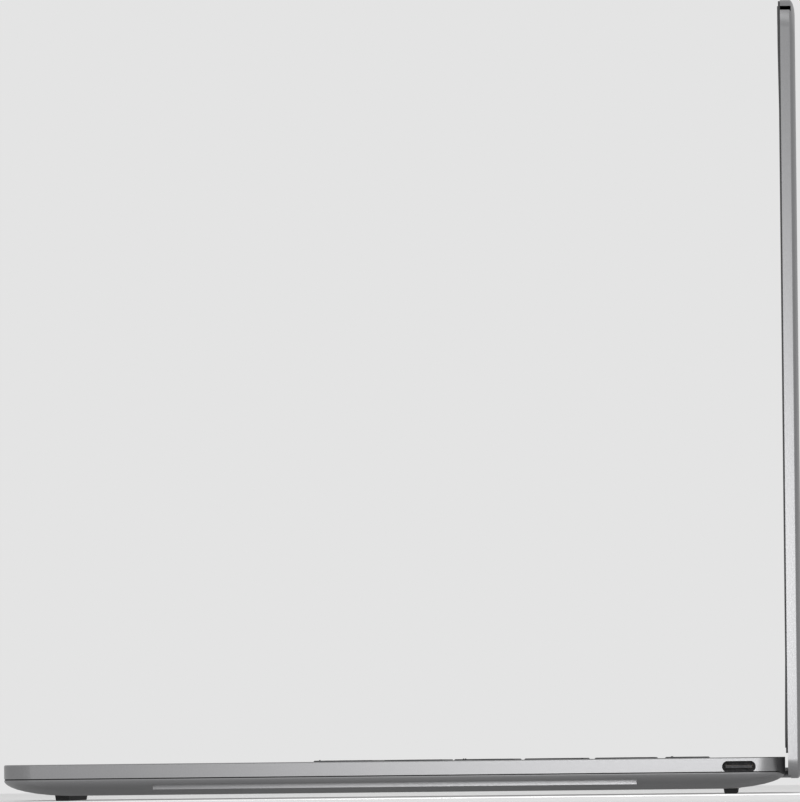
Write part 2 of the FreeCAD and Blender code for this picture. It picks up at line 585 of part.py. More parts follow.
def make_bottom_cover():
    outside = base_bowl("cover_outside", OUTER_DEGREES, "0", "edge_drop")
    inside = base_bowl("cover_inside", INNER_DEGREES, "bottom_rim", "edge_drop - bottom_wall")
    liners = [side_box(f"groove_liner_{tag}", side, "side_x - groove_liner", "side_x",
                       "groove_y - groove_end", "foot_height", "groove_length + 2 * groove_end",
                       "groove_z + groove_height + bottom_wall - foot_height") for side, tag in SIDES]
    pads = [cylinder(f"cover_pad_{number}", x, y, "floor_z - fit_gap", "cover_pad_radius",
                     "cover_pad_height + fit_gap") for number, (x, y) in enumerate(SCREW_PLACES)]
    hollow = cut("cover_hollow", inside, fuse("cover_blocks", hollow_blocks("cover", "foot_height", "edge_drop")
                                              + liners + pads))
    grooves = []
    for side, tag in SIDES:
        groove = doc.addObject("Part::Wedge", f"groove_{tag}")
        low, high = "side_x - groove_bottom_inset", "side_x - groove_top_inset"
        outer = "side_x + case_wall"
        ends = ((low, outer), (high, outer)) if side > 0 else ((f"0 - ({outer})", f"0 - ({low})"),
                                                               (f"0 - ({outer})", f"0 - ({high})"))
        bind(groove, Xmin=ends[0][0], Xmax=ends[0][1], X2min=ends[1][0], X2max=ends[1][1], Ymin="0",
             Ymax="groove_height", Zmin="0", Zmax="groove_length", Z2min="0", Z2max="groove_length")
        lying = Rotation(Vector(1, 0, 0), 90)
        grooves.append(place(groove, "0", "groove_y + groove_length", "groove_z", lying))
    slot = rounded_plate("vent_slot", "vent_slot_width / 2", "0 - vent_slot_length / 2", "vent_slot_length / 2",
                         "0", "deck_z / 2", "0.45 * vent_slot_width")
    vents = [linked(f"vent_{row}_{column}", slot, f"fan_x + {column - 5} * vent_pitch",
                    f"fan_y + {row - 1.5} * (vent_slot_length + vent_slot_width)")
             for row in range(4) for column in range(11)]
    sinks = [cylinder(f"sink_{number}", x, y, "0", "screw_head_radius + fit_gap", "sink_z")
             for number, (x, y) in enumerate(SCREW_PLACES)]
    clear = [cylinder(f"clear_{number}", x, y, "0", "screw_shaft_radius + fit_gap", "deck_z / 2")
             for number, (x, y) in enumerate(SCREW_PLACES)]
    ports = [tool for side, tag in SIDES for tool in port_tools(side, tag + "_cover")]
    tools = fuse("cover_tools", vents + sinks + clear + ports + grooves + foot_solids("seat")
                 + [notch("cover_notch"), whole_trim_tool("cover_trim")])
    parts["bottom_cover"] = cut("cover_shell", cut("cover_open", outside, hollow), tools)
    return outside


def make_trims(outside):
    for side, tag in SIDES:
        x = "notch_half_width" if side > 0 else "0 - side_x"
        filled = fuse(f"trim_limits_{tag}", [base_slab(f"trim_slab_{tag}", "rim_z", "deck_z", "0"), outside])
        bar = trim_tool(f"trim_bar_{tag}", x, "side_x - notch_half_width")
        parts[f"rear_trim_{tag}"] = common(f"trim_{tag}", bar, filled)


def foot_solids(name):
    """Both feet, narrower where they stand; one seat each in the cover is the same solid."""
    return [frustum(f"{name}_{which}", "0", f"front_y + {which}_foot_from_front", "0", "foot_length",
                    "foot_width - 2 * foot_taper", "foot_height + foot_seat", "0 - foot_taper")
            for which in ("front", "rear")]


def screw(name, x, y, z, head_radius, head_height, shaft_radius, reach, turn=UPRIGHT, along=(0, 0, 1)):
    """A screw whose head starts at x, y, z and whose shaft runs on along one axis."""
    def further(distance):
        return [f"{start} + {step} * ({distance})" for start, step in zip((x, y, z), along)]
    whole = fuse(name + "_solid", [cylinder(name + "_head", x, y, z, head_radius, head_height, turn),
                                   cylinder(name + "_shaft", *further(head_height), shaft_radius, reach, turn)])
    drive = cylinder(name + "_drive", *further("0 - fit_gap"), "screw_drive_radius",
                     "screw_drive_depth + fit_gap", turn)
    return cut(name, whole, drive)


def make_screws():
    parts["bottom_cover_screws"] = group("cover_screws", [
        screw(f"cover_screw_{number}", x, y, "sink_z - screw_head_height", "screw_head_radius",
              "screw_head_height", "screw_shaft_radius", "boss_z - sink_z + screw_reach")
        for number, (x, y) in enumerate(SCREW_PLACES)])
    parts["hinge_screws_base"] = group("base_hinge_screws", [
        screw(f"hinge_screw_{tag}_{number}", f"{side} * {x}", HINGE_SCREW_Y, "bracket_z - screw_head_height",
              "screw_head_radius", "screw_head_height", "screw_shaft_radius",
              "plate_under_z - bracket_z - fit_gap")
        for side, tag in SIDES for number, x in enumerate(HINGE_SCREWS)])
    parts["hinge_screws_lid"] = group("lid_hinge_screws", [
        screw(f"leaf_screw_{tag}_{number}", f"{side} * {x}", "(leaf_y - leaf_screw_head)", z,
              "leaf_screw_head_radius", "leaf_screw_head", "leaf_screw_radius",
              "leaf_thickness + leaf_screw_reach", ALONG_Y, (0, 1, 0))
        for side, tag in SIDES for number, (x, z) in enumerate(LEAF_SCREWS)])


def make_hinge():
    for side, tag in SIDES:
        knuckle = side_cylinder(f"knuckle_{tag}", side, "knuckle_start", "knuckle_end", "axis_y", "axis_z",
                                "knuckle_radius")
        neck = side_box(f"neck_{tag}", side, "knuckle_start", "knuckle_end", "front_y + bracket_from_front",
                        "bracket_z", "hinge_from_front - bracket_from_front", "bracket_thickness")
        foot = side_box(f"bracket_foot_{tag}", side, "bracket_inner_end", "knuckle_end",
                        "front_y + bracket_from_front", "bracket_z",
                        "notch_y - case_wall - fit_gap - front_y - bracket_from_front", "bracket_thickness")
        holes = [cylinder(f"bracket_hole_{tag}_{number}", f"{side} * {x}", HINGE_SCREW_Y,
                          "bracket_z - bracket_thickness", "screw_shaft_radius + port_play",
                          "3 * bracket_thickness")
                 for number, x in enumerate(HINGE_SCREWS)]
        bore = side_cylinder(f"knuckle_bore_{tag}", side, "knuckle_start - 1", "knuckle_end + 1", "axis_y",
                             "axis_z", "pin_radius + pin_play")
        solid = fuse(f"bracket_solid_{tag}", [knuckle, neck, foot])
        parts[f"hinge_bracket_{tag}"] = cut(f"bracket_{tag}", solid,
                                            fuse(f"bracket_tools_{tag}", holes + [bore]))
        sleeve = side_cylinder(f"sleeve_{tag}", side, "sleeve_start", "sleeve_end", "axis_y", "axis_z",
                               "sleeve_radius")
        web = side_box(f"web_{tag}", side, "sleeve_start", "sleeve_end", "axis_y",
                       "axis_z - web_top - web_thickness", "leaf_y + leaf_thickness - axis_y", "web_thickness")
        leaf = side_box(f"leaf_{tag}", side, "leaf_inner_end", "sleeve_end", "leaf_y", "axis_z - leaf_bottom",
                        "leaf_thickness", "leaf_top + leaf_bottom")
        leaf_holes = [cylinder(f"leaf_hole_{tag}_{number}", f"{side} * {x}", "leaf_y - leaf_thickness", z,
                               "leaf_screw_radius + port_play", "3 * leaf_thickness", ALONG_Y)
                      for number, (x, z) in enumerate(LEAF_SCREWS)]
        sleeve_bore = side_cylinder(f"sleeve_bore_{tag}", side, "sleeve_start - 1", "sleeve_end + 1", "axis_y",
                                    "axis_z", "pin_radius")
        parts[f"hinge_leaf_{tag}"] = cut(f"leaf_whole_{tag}", fuse(f"leaf_solid_{tag}", [sleeve, web, leaf]),
                                         fuse(f"leaf_tools_{tag}", leaf_holes + [sleeve_bore]))
    parts["hinge_pins"] = group("pins", [side_cylinder(f"pin_{tag}", side, "pin_in", "pin_out", "axis_y",
                                                       "axis_z", "pin_radius") for side, tag in SIDES])


def make_clutch_cover():
    """The tube about the hinge line, its arm to the lid, and the lip that closes the lid's pocket."""
    reach = "clutch_half_length"
    barrel = cylinder("clutch_barrel", f"0 - {reach}", "axis_y", "axis_z", "clutch_radius", f"2 * {reach}",
                      ALONG_X)
    arm = middle_box("clutch_arm", reach, "axis_y", "axis_z - arm_bottom", "lid_chin_front + lip_thickness",
                     "arm_bottom + arm_top")
    lip = middle_box("clutch_lip", reach, "chin_y", "axis_z", "lip_thickness", "lip_top")
    bores = []
    for side, tag in SIDES:
        bores.append(side_cylinder(f"clutch_bore_{tag}", side, "clutch_bore_start", "clutch_half_length + 1",
                                   "axis_y", "axis_z", "clutch_bore"))
        bores.append(side_box(f"web_slot_{tag}", side, "sleeve_start - fit_gap", "clutch_half_length + 1",
                              "axis_y", "axis_z - web_top - web_thickness - fit_gap",
                              "lid_chin_front + 2 * lip_thickness", "web_thickness + 2 * fit_gap"))
    parts["clutch_cover"] = cut("clutch_cover_whole", fuse("clutch_solid", [barrel, arm, lip]),
                                fuse("clutch_tools", bores))


def lid_outline(body, name, y, inset, growth="0", low="lid_bottom_z"):
    """The lid's outline at a distance behind the frame's origin, drawn in from its edge."""
    inside = f"({inset})"
    return outline(body, name, "XZ_Plane", f"0 - ({y})", f"side_x - {inside}", f"{low} + {inside}",
                   f"lid_top_z - {inside}", f"lid_corner_low + ({growth})", f"lid_corner + ({growth})")


def make_lid():
    blank = doc.addObject("PartDesign::Body", "lid_blank")
    flat_back = "lid_front_y + lid_flat_side"
    pad(blank, "lid_side", lid_outline(blank, "lid_side_outline", "lid_front_y", "0"), "lid_flat_side", True)
    sections = []
    for number, degrees in enumerate((0, 8, 17, 27, 38, 52, 68, 85)):
        drawn_in = f"lid_edge_reach * (1 - cos({degrees} deg))"
        y = f"{flat_back} + (lid_thickness - lid_flat_side) * sin({degrees} deg) / sin(85 deg)"
        growth = f"edge_corner_growth * {drawn_in}"
        sections.append(lid_outline(blank, f"lid_edge_{number}", y, drawn_in, growth))
    loft(blank, "lid_edge", sections)
    cavity = middle_box("lid_cavity", "side_x - lid_wall", "gasket_y", "display_bottom_z",
                        "lid_inner_back_y - gasket_y", "lid_top_z - lid_wall - display_bottom_z")
    chin = middle_box("lid_chin", "side_x - lid_chin_side", "axis_y", "lid_bottom_z - 1",
                      "lid_chin_front", "lid_chin_top + lid_bottom_reach + 1")
    reach = "clutch_half_length + fit_gap"
    lip_seat = middle_box("lip_seat", reach, "axis_y", "lid_bottom_z - 1", "lid_chin_front + lip_thickness",
                          "lip_top + fit_gap + lid_bottom_reach + 1")
    leaf_seats = [side_box(f"leaf_seat_{tag}", side, "leaf_inner_end - fit_gap", reach, "axis_y",
                           "axis_z - leaf_bottom - fit_gap", "leaf_y + leaf_thickness - axis_y",
                           "leaf_top + leaf_bottom + 2 * fit_gap") for side, tag in SIDES]
    holes = [cylinder(f"lid_hole_{tag}_{number}", f"{side} * {x}", "leaf_y", z, "leaf_screw_radius + port_play",
                      "leaf_thickness + leaf_screw_reach + fit_gap", ALONG_Y)
             for side, tag in SIDES for number, (x, z) in enumerate(LEAF_SCREWS)]
    tools = fuse("lid_tools", [cavity, chin, lip_seat] + leaf_seats + holes)
    parts["lid_cover"] = cut("lid_shell", blank, tools)


def make_display():
    glass_inset = "(gasket_inset + gasket_width)"
    parts["display_glass"] = upright_plate("glass", "side_x - " + glass_inset, "chin_top_z + " + glass_inset,
                                           "lid_top_z - " + glass_inset, "glass_y", "glass_thickness",
                                           "lid_corner - " + glass_inset)
    parts["display_panel"] = middle_box("panel", "side_x - panel_side_margin", "panel_y",
                                        "display_bottom_z + panel_bottom_margin", "lid_inner_back_y - panel_y",
                                        "lid_top_z - panel_top_margin - display_bottom_z - panel_bottom_margin")
    parts["camera_module"] = middle_box("camera", "camera_width / 2", "panel_y",
                                        "lid_top_z - lid_wall - fit_gap - camera_height", "camera_thickness",
                                        "camera_height")
    ring_outer = upright_plate("gasket_outer", "side_x - gasket_inset", "chin_top_z",
                               "lid_top_z - gasket_inset", "gasket_y - bumper_rise",
                               "gasket_proud + bumper_rise", "lid_corner - gasket_inset")
    ring_inner = upright_plate("gasket_inner", "side_x - " + glass_inset, "chin_top_z + " + glass_inset,
                               "lid_top_z - " + glass_inset, "gasket_y - 2 * bumper_rise",
                               "gasket_proud + 4 * bumper_rise", "lid_corner - " + glass_inset)
    base_plane = middle_box("gasket_level", "side_x", "gasket_y", "0", "gasket_proud", "lid_top_z")
    bumpers = []
    for side, tag in SIDES:
        for end in ("top", "bottom"):
            wedge = doc.addObject("Part::Wedge", f"bumper_{end}_{tag}")
            long = "bumper_length + bumper_taper"
            bind(wedge, Xmin="0", Xmax="2 * gasket_width", X2min="0", X2max="2 * gasket_width", Ymin="0",
                 Ymax="bumper_rise", Zmin="0", Zmax=long, Z2min="0", Z2max="bumper_length")
            if end == "bottom":
                bind(wedge, Z2min="bumper_taper", Z2max=long)
            x = "side_x - 2 * gasket_width" if side > 0 else "0 - side_x"
            z = "lid_top_z" if end == "top" else f"chin_top_z + {long}"
            bumpers.append(place(wedge, x, "gasket_y", z, Rotation(Vector(1, 0, 0), 180)))
    ring = cut("gasket_ring", ring_outer, ring_inner)
    parts["display_gasket"] = common("gasket", ring, fuse("gasket_levels", [base_plane] + bumpers))


def upright_plate(name, half_width, low, high, y, thickness, corner):
    body = doc.addObject("PartDesign::Body", name)
    pad(body, name + "_pad", outline(body, name + "_outline", "XZ_Plane", f"0 - ({y})", half_width, low, high,
                                     corner, corner), thickness, True)
    return body


def make_touchpad():
    parts["touchpad_plate"] = rounded_plate("pad_plate", "pad_width / 2", "pad_y", "pad_y + pad_depth",
                                            "pad_under_z", "pad_thickness", "pad_corner")
    margin = "pad_bracket_margin"
    inner = "(2 * pad_clearance)"
    floor_low = "(pad_bracket_z - pad_bracket_thickness)"
    outer = middle_box("bracket_outer", f"pad_width / 2 + {margin}", f"pad_y - {margin}", floor_low,
                       f"pad_depth + 2 * {margin}", f"plate_under_z - {floor_low}")
    hollow = middle_box("bracket_hollow", f"pad_width / 2 + {inner}", f"pad_y - {inner}", "pad_bracket_z",
                        f"pad_depth + 2 * {inner}", "deck_plate + pad_travel * 2")
    rib = middle_box("bracket_rib", "pad_width / 2 - pad_corner", "pad_y + pad_depth - pad_rib_depth",
                     "pad_bracket_z", "pad_rib_depth", "pad_under_z - fit_gap - pad_bracket_z")
    switch = cylinder("pad_switch", "0", "pad_y + pad_depth / 5", "pad_bracket_z", "pad_switch_radius",
                      "pad_travel - fit_gap")
    tray = cut("bracket_tray", outer, hollow)
    parts["touchpad_bracket"] = fuse("touchpad_bracket_whole", [tray, rib, switch])


def make_feet():
    for which, solid in zip(("front", "rear"), foot_solids("foot_solid")):
        parts[f"foot_{which}"] = solid


def make_board():
    width = "board_right + board_left"
    board = box("board", "0 - board_left", "board_y", "board_z", width, "board_depth", "board_thickness")
    chips = [box(f"chip_{number}", f"{x}", f"board_y + {y}", "board_z - package_height", wide, deep,
                 "package_height")
             for number, (x, y, wide, deep) in enumerate((
                 ("0 - board_left + 8", "12", "12", "10"), ("0 - board_left + 8", "28", "12", "10"),
                 ("0 - board_left + 34", "9", "10", "12"), ("0 - board_left + 50", "9", "10", "12"),
                 ("board_right - 16", "50", "9", "9"), ("board_right - 34", "60", "12", "7"),
                 ("0 - board_left + 6", "50", "14", "14")))]
    parts["motherboard"] = fuse("motherboard_whole", [board] + chips)
    parts["processor"] = box("package", "package_x - package_size / 2", "package_y - package_size / 2",
                             "board_z - package_height", "package_size", "package_size", "package_height")
    parts["storage_drive"] = box("drive", "drive_x", "front_y + drive_from_front",
                                 "rest_z", "drive_length", "drive_width", "board_z - rest_z")
    parts["wireless_card"] = box("card", "card_x", "front_y + card_from_front", "board_z - card_height",
                                 "card_length", "card_width", "card_height")


def make_cooling():
    half = "fan_size / 2"
    case_box = box("fan_block", f"fan_x - {half}", f"fan_y - {half}", "rest_z", "fan_size", "fan_size",
                   "fan_height")
    chamber = cylinder("fan_chamber", "fan_x", "fan_y", "rest_z + fan_wall", "rotor_radius + rotor_gap",
                       "fan_height - 2 * fan_wall")
    outlet = box("fan_outlet", "fan_x - rotor_radius", "fan_y", "rest_z + fan_wall", "2 * rotor_radius",
                 "fan_size", "fan_height - 2 * fan_wall")
    inlet = cylinder("fan_inlet_hole", "fan_x", "fan_y", "0", "fan_inlet", "rest_z + 2 * fan_wall")
    spindle = cylinder("fan_spindle", "fan_x", "fan_y", "rest_z + fan_wall + rotor_clear", "spindle_radius",
                       "fan_height - fan_wall - rotor_clear")
    parts["fan_housing"] = fuse("fan_housing_whole", [
        cut("fan_shell", case_box, fuse("fan_tools", [chamber, outlet, inlet])), spindle])
    rotor_z = "rest_z + fan_wall + rotor_clear"
    rotor_height = "fan_height - 2 * fan_wall - 2 * rotor_clear"
    hub = cylinder("rotor_hub", "fan_x", "fan_y", rotor_z, "rotor_hub_radius", rotor_height)
    disc = cylinder("rotor_disc", "fan_x", "fan_y", f"{rotor_z} + {rotor_height} - rotor_disc",
                    "rotor_radius - blade_length + 2 * blade_thickness", "rotor_disc")
    blades = []
    for number in range(BLADES):
        degrees = number * 360 / BLADES
        inner = "(rotor_radius - blade_length)"
        blades.append(box(f"blade_{number}", f"fan_x + {inner} * cos({degrees} deg)",
                          f"fan_y + {inner} * sin({degrees} deg)", rotor_z, "blade_length * 0.95",
                          "blade_thickness", rotor_height, Rotation(Vector(0, 0, 1), degrees + FAN_TILT)))
    bore = cylinder("rotor_bore", "fan_x", "fan_y", "0", "spindle_radius + spindle_play", "deck_z")
    parts["fan_rotor"] = cut("rotor_whole", fuse("rotor_solid", [hub, disc] + blades), bore)
    pipe_y = "fin_y"
    pipe_left = "fan_x - fan_size / 2 + 2 * fin_pitch"
    parts["heat_pipe"] = fuse("heat_pipe_whole", [
        box("pipe_across", pipe_left, pipe_y, "rest_z", f"package_x + pipe_width / 2 - ({pipe_left})",
            "pipe_width", "pipe_thickness"),
        box("pipe_along", "package_x - pipe_width / 2", "package_y - package_size / 2", "rest_z", "pipe_width",
            f"{pipe_y} + pipe_width - package_y + package_size / 2", "pipe_thickness")])
    fin_z = "rest_z + pipe_thickness"
    fin_height = "fan_height - pipe_thickness"
    fins = [box(f"fin_{number}", f"fan_x + {number - 14} * fin_pitch - fin_thickness / 2", "fin_y", fin_z,
                "fin_thickness", "fin_depth", fin_height) for number in range(29)]
    sheets = [box(f"fin_sheet_{which}", "fan_x - 14 * fin_pitch", "fin_y", z, "28 * fin_pitch", "fin_depth",
                  "fin_thickness")
              for which, z in (("low", fin_z), ("high", f"{fin_z} + {fin_height} - fin_thickness"))]
    parts["fin_stack"] = fuse("fin_stack_whole", fins + sheets)


def make_battery_and_speakers():
    cells = [box(f"cell_{number}", f"{number - 1} * (cell_width + cell_gap) - cell_width / 2", "cell_y",
                 "rest_z", "cell_width", "cell_depth", "cell_thickness") for number in range(3)]
    strip = middle_box("battery_board", "1.5 * cell_width + cell_gap", "cell_y + cell_depth",
                       "rest_z + cell_thickness / 2", "board_thickness * 5", "board_thickness")
    parts["battery_pack"] = fuse("battery_whole", cells + [strip])
    for side, tag in SIDES:
        parts[f"speaker_{tag}"] = side_box(f"speaker_box_{tag}", side, "speaker_out - speaker_width",
                                           "speaker_out", "front_y + speaker_from_front", "rest_z",
                                           "speaker_depth", "speaker_height")


make_keys()
make_top_case()
make_trims(make_bottom_cover())
make_feet()
make_ports()
make_hinge()
make_clutch_cover()
make_lid()
make_display()
make_screws()
make_touchpad()
make_board()
make_cooling()
make_battery_and_speakers()
doc.recompute()

for name, part in parts.items():
    part.Label = name
os.makedirs("parts", exist_ok=True)
for thing in doc.Objects:
    if "Invalid" in thing.State or "Error" in thing.State:
        raise RuntimeError(f"{thing.Name} didn't compute: {thing.State}")
for name, part in parts.items():
    if part.Shape.isNull() or not part.Shape.isValid():
        raise RuntimeError(f"{name} has no valid shape")
    part.Shape.exportStep(f"parts/{name}.step")
    print(name, len(part.Shape.Solids), round(part.Shape.Volume, 1))
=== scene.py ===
import json
import math

import bmesh
import bpy
from mathutils import Matrix, Vector


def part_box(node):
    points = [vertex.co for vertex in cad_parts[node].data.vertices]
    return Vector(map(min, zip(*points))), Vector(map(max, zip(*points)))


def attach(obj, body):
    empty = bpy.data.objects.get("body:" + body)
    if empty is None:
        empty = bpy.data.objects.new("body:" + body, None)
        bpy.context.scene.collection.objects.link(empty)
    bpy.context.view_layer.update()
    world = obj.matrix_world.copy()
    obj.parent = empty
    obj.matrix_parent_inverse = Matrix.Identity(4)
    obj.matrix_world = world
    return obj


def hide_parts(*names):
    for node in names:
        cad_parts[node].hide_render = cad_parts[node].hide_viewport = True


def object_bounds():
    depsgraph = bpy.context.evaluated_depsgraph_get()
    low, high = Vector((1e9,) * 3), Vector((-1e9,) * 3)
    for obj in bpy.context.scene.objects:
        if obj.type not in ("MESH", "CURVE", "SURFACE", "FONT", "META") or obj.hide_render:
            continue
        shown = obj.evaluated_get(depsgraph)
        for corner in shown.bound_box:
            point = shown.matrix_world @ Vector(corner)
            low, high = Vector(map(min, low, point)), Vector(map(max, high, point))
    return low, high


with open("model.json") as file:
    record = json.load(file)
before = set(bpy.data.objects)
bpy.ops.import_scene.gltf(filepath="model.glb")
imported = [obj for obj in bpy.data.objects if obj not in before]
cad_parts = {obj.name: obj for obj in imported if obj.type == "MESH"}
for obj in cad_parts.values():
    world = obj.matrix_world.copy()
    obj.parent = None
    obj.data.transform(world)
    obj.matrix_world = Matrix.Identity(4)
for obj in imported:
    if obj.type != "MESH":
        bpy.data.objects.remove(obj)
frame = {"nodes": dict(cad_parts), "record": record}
cad_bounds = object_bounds()
node = frame["nodes"]
body_of = {name: body for body, names in frame["record"]["behaviour"]["bodies"].items() for name in names}
bpy.ops.object.select_all(action="DESELECT")

# ---- Camera -----------------------------------------------------------------------------------------------
# A long lens on a low stand beside the right-hand side, level with the deck and in line with the display, so
# that the base and the lid are both seen edge on. It is turned a little forwards and up to take both in.

deck_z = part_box("top_case")[1].z
glass_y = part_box("display_glass")[0].y
right_x = cad_bounds[1].x
VIEW_DISTANCE = 9.0
VIEW_WIDTH = 0.20456
VIEW_ROLL = math.radians(-0.625)
VIEW_FROM_FRONT, VIEW_ABOVE_DECK = 0.10219, 0.09181
view_centre = Vector((right_x, cad_bounds[0].y + VIEW_FROM_FRONT, deck_z + VIEW_ABOVE_DECK))
camera_data = bpy.data.cameras.new("side_camera")
camera = bpy.data.objects.new("side_camera", camera_data)
bpy.context.scene.collection.objects.link(camera)
camera.location = (right_x + VIEW_DISTANCE, glass_y, deck_z)
camera_data.sensor_width = 36.0
camera_data.lens = camera_data.sensor_width * VIEW_DISTANCE / VIEW_WIDTH
camera_data.clip_start, camera_data.clip_end = 0.5, 40.0
camera.rotation_mode = "QUATERNION"
camera.rotation_quaternion = ((view_centre - camera.location).to_track_quat("-Z", "Y")
                              @ Matrix.Rotation(VIEW_ROLL, 4, "Z").to_quaternion())
bpy.context.scene.camera = camera
bpy.context.scene.view_settings.view_transform = "Standard"

# ---- Table, backdrop and lamps ----------------------------------------------------------------------------
# A pale grey light table, lit faintly from below, that runs out into a backdrop of the same grey. One wide
# soft lamp hangs overhead, and a smaller soft lamp stands close to the right-hand side, near the hinge.

BACKDROP_GREY = (0.776, 0.776, 0.776, 1)
ROOM_LIGHT = (0.62, 0.62, 0.62, 1)
world = bpy.data.worlds.new("studio")
bpy.context.scene.world = world
world.use_nodes = True
wires, shade = world.node_tree.links, world.node_tree.nodes
shade.clear()
seen = shade.new("ShaderNodeBackground")
seen.inputs["Color"].default_value = BACKDROP_GREY
room = shade.new("ShaderNodeBackground")
room.inputs["Color"].default_value = ROOM_LIGHT
ray = shade.new("ShaderNodeLightPath")
either = shade.new("ShaderNodeMath")
either.operation = "MAXIMUM"
any_seen = shade.new("ShaderNodeMath")
any_seen.operation = "MAXIMUM"
pick = shade.new("ShaderNodeMixShader")
world_out = shade.new("ShaderNodeOutputWorld")
wires.new(ray.outputs["Is Camera Ray"], either.inputs[0])
wires.new(ray.outputs["Is Glossy Ray"], either.inputs[1])
wires.new(either.outputs[0], any_seen.inputs[0])
wires.new(ray.outputs["Is Transmission Ray"], any_seen.inputs[1])
wires.new(any_seen.outputs[0], pick.inputs[0])
wires.new(room.outputs[0], pick.inputs[1])
wires.new(seen.outputs[0], pick.inputs[2])
wires.new(pick.outputs[0], world_out.inputs[0])


def pick_out(piece):
    """Leaves only this piece selected, and active."""
    bpy.ops.object.select_all(action="DESELECT")
    piece.select_set(True)
    bpy.context.view_layer.objects.active = piece


def finish(name, colour, fleck=0.0, fleck_mm=1.0, metallic=0.0, roughness=0.5, spread=0.0,
           grain_mm=0.0, grain_depth_mm=0.0, stretch=(1, 1, 1)):
    """A material whose colour and roughness wander by a share, over flecks and a finer raised grain."""
    made = bpy.data.materials.new(name)
    made.use_nodes = True
    nodes, links = made.node_tree.nodes, made.node_tree.links
    shader = nodes["Principled BSDF"]
    shader.inputs["Metallic"].default_value = metallic
    where = nodes.new("ShaderNodeTexCoord")
    mapping = nodes.new("ShaderNodeMapping")
    mapping.inputs["Scale"].default_value = stretch
    links.new(where.outputs["Object"], mapping.inputs["Vector"])
    flecks = nodes.new("ShaderNodeTexNoise")
    flecks.name = "flecks"
    flecks.inputs["Scale"].default_value = 1000 / fleck_mm
    flecks.inputs["Detail"].default_value = 3.0
    links.new(mapping.outputs["Vector"], flecks.inputs["Vector"])
    tones = nodes.new("ShaderNodeValToRGB")
    tones.name = "tones"
    tones.color_ramp.elements[0].position, tones.color_ramp.elements[1].position = 0.3, 0.7
    tones.color_ramp.elements[0].color = (*(part * (1 - fleck) for part in colour), 1)
    tones.color_ramp.elements[1].color = (*(part * (1 + fleck) for part in colour), 1)
    links.new(flecks.outputs["Fac"], tones.inputs["Fac"])
    links.new(tones.outputs["Color"], shader.inputs["Base Color"])
    sheen = nodes.new("ShaderNodeMapRange")
    sheen.inputs["From Min"].default_value, sheen.inputs["From Max"].default_value = 0.3, 0.7
    sheen.inputs["To Min"].default_value = roughness * (1 - spread)
    sheen.inputs["To Max"].default_value = roughness * (1 + spread)
    links.new(flecks.outputs["Fac"], sheen.inputs["Value"])
    links.new(sheen.outputs["Result"], shader.inputs["Roughness"])
    if grain_mm:
        grain = nodes.new("ShaderNodeTexNoise")
        grain.inputs["Scale"].default_value = 1000 / grain_mm
        grain.inputs["Detail"].default_value = 2.0
        relief = nodes.new("ShaderNodeBump")
        relief.inputs["Distance"].default_value = grain_depth_mm / 1000
        links.new(mapping.outputs["Vector"], grain.inputs["Vector"])
        links.new(grain.outputs["Fac"], relief.inputs["Height"])
        links.new(relief.outputs["Normal"], shader.inputs["Normal"])
    return made


def wear(thing, *materials):
    """Gives a piece or a CAD node these materials and no others."""
    thing.data.materials.clear()
    for material in materials:
        thing.data.materials.append(material)


TABLE_RADIUS = 2.4
bpy.ops.mesh.primitive_circle_add(vertices=96, radius=TABLE_RADIUS, fill_type="NGON", location=(0, 0, 0))
table = bpy.context.active_object
table.name = "table"
TABLE_GLOW = 0.20
table_top = finish("pale_table_top", (0.62, 0.62, 0.62), fleck=0.01, fleck_mm=400, roughness=0.75,
                   spread=0.05)
table_shader = table_top.node_tree.nodes["Principled BSDF"]
table_shader.inputs["Emission Color"].default_value = (1, 1, 1, 1)
table_shader.inputs["Emission Strength"].default_value = TABLE_GLOW
wear(table, table_top)


def lamp(name, place, aim, width, height, watts):
    """A soft rectangular lamp that faces a point and isn't seen itself."""
    light = bpy.data.lights.new(name, "AREA")
    light.shape = "RECTANGLE"
    light.size, light.size_y, light.energy = width, height, watts
    made = bpy.data.objects.new(name, light)
    bpy.context.scene.collection.objects.link(made)
    made.location = place
    made.rotation_mode = "QUATERNION"
    made.rotation_quaternion = (Vector(aim) - Vector(place)).to_track_quat("-Z", "Y")
    made.visible_camera = False


lamp("overhead_lamp", (1.1, -0.3, 1.3), (0, 0, 0.05), 1.0, 1.0, 5.0)
lamp("side_lamp", (right_x + 0.30, 0.07, 0.05), (right_x, 0.05, 0.01), 0.16, 0.12, 0.36)

# ---- Bottom cover -----------------------------------------------------------------------------------------
# A shallow tray milled from aluminium, curved in underneath on every side, with a long shallow groove down
# each side and rows of vent slots under the fan. It is blasted to a fine even grain and anodised.

MERGE_WITHIN = 0.000002
CASE_SMOOTH_DEGREES = 28
blasted_silver = finish("blasted_silver", (0.265, 0.265, 0.27), fleck=0.05, fleck_mm=0.35, metallic=1.0,
                        roughness=0.40, spread=0.12, grain_mm=0.16, grain_depth_mm=0.006)


def smoothed_copy(cad_name, new_name, smooth_degrees, *materials):
    """The CAD body as one closed skin, its curved faces shaded smooth, in place of the node."""
    piece = bpy.data.objects.new(new_name, node[cad_name].data.copy())
    bpy.context.scene.collection.objects.link(piece)
    pick_out(piece)
    bpy.ops.object.mode_set(mode="EDIT")
    bpy.ops.mesh.select_all(action="SELECT")
    bpy.ops.mesh.remove_doubles(threshold=MERGE_WITHIN)
    bpy.ops.object.mode_set(mode="OBJECT")
    bpy.ops.mesh.customdata_custom_splitnormals_clear()
    bpy.ops.object.shade_smooth_by_angle(angle=math.radians(smooth_degrees))
    even = piece.modifiers.new("even_shading", "WEIGHTED_NORMAL")
    even.keep_sharp = True
    bpy.ops.object.modifier_apply(modifier=even.name)
    wear(piece, *materials)
    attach(piece, body_of[cad_name])
    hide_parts(cad_name)
    return piece


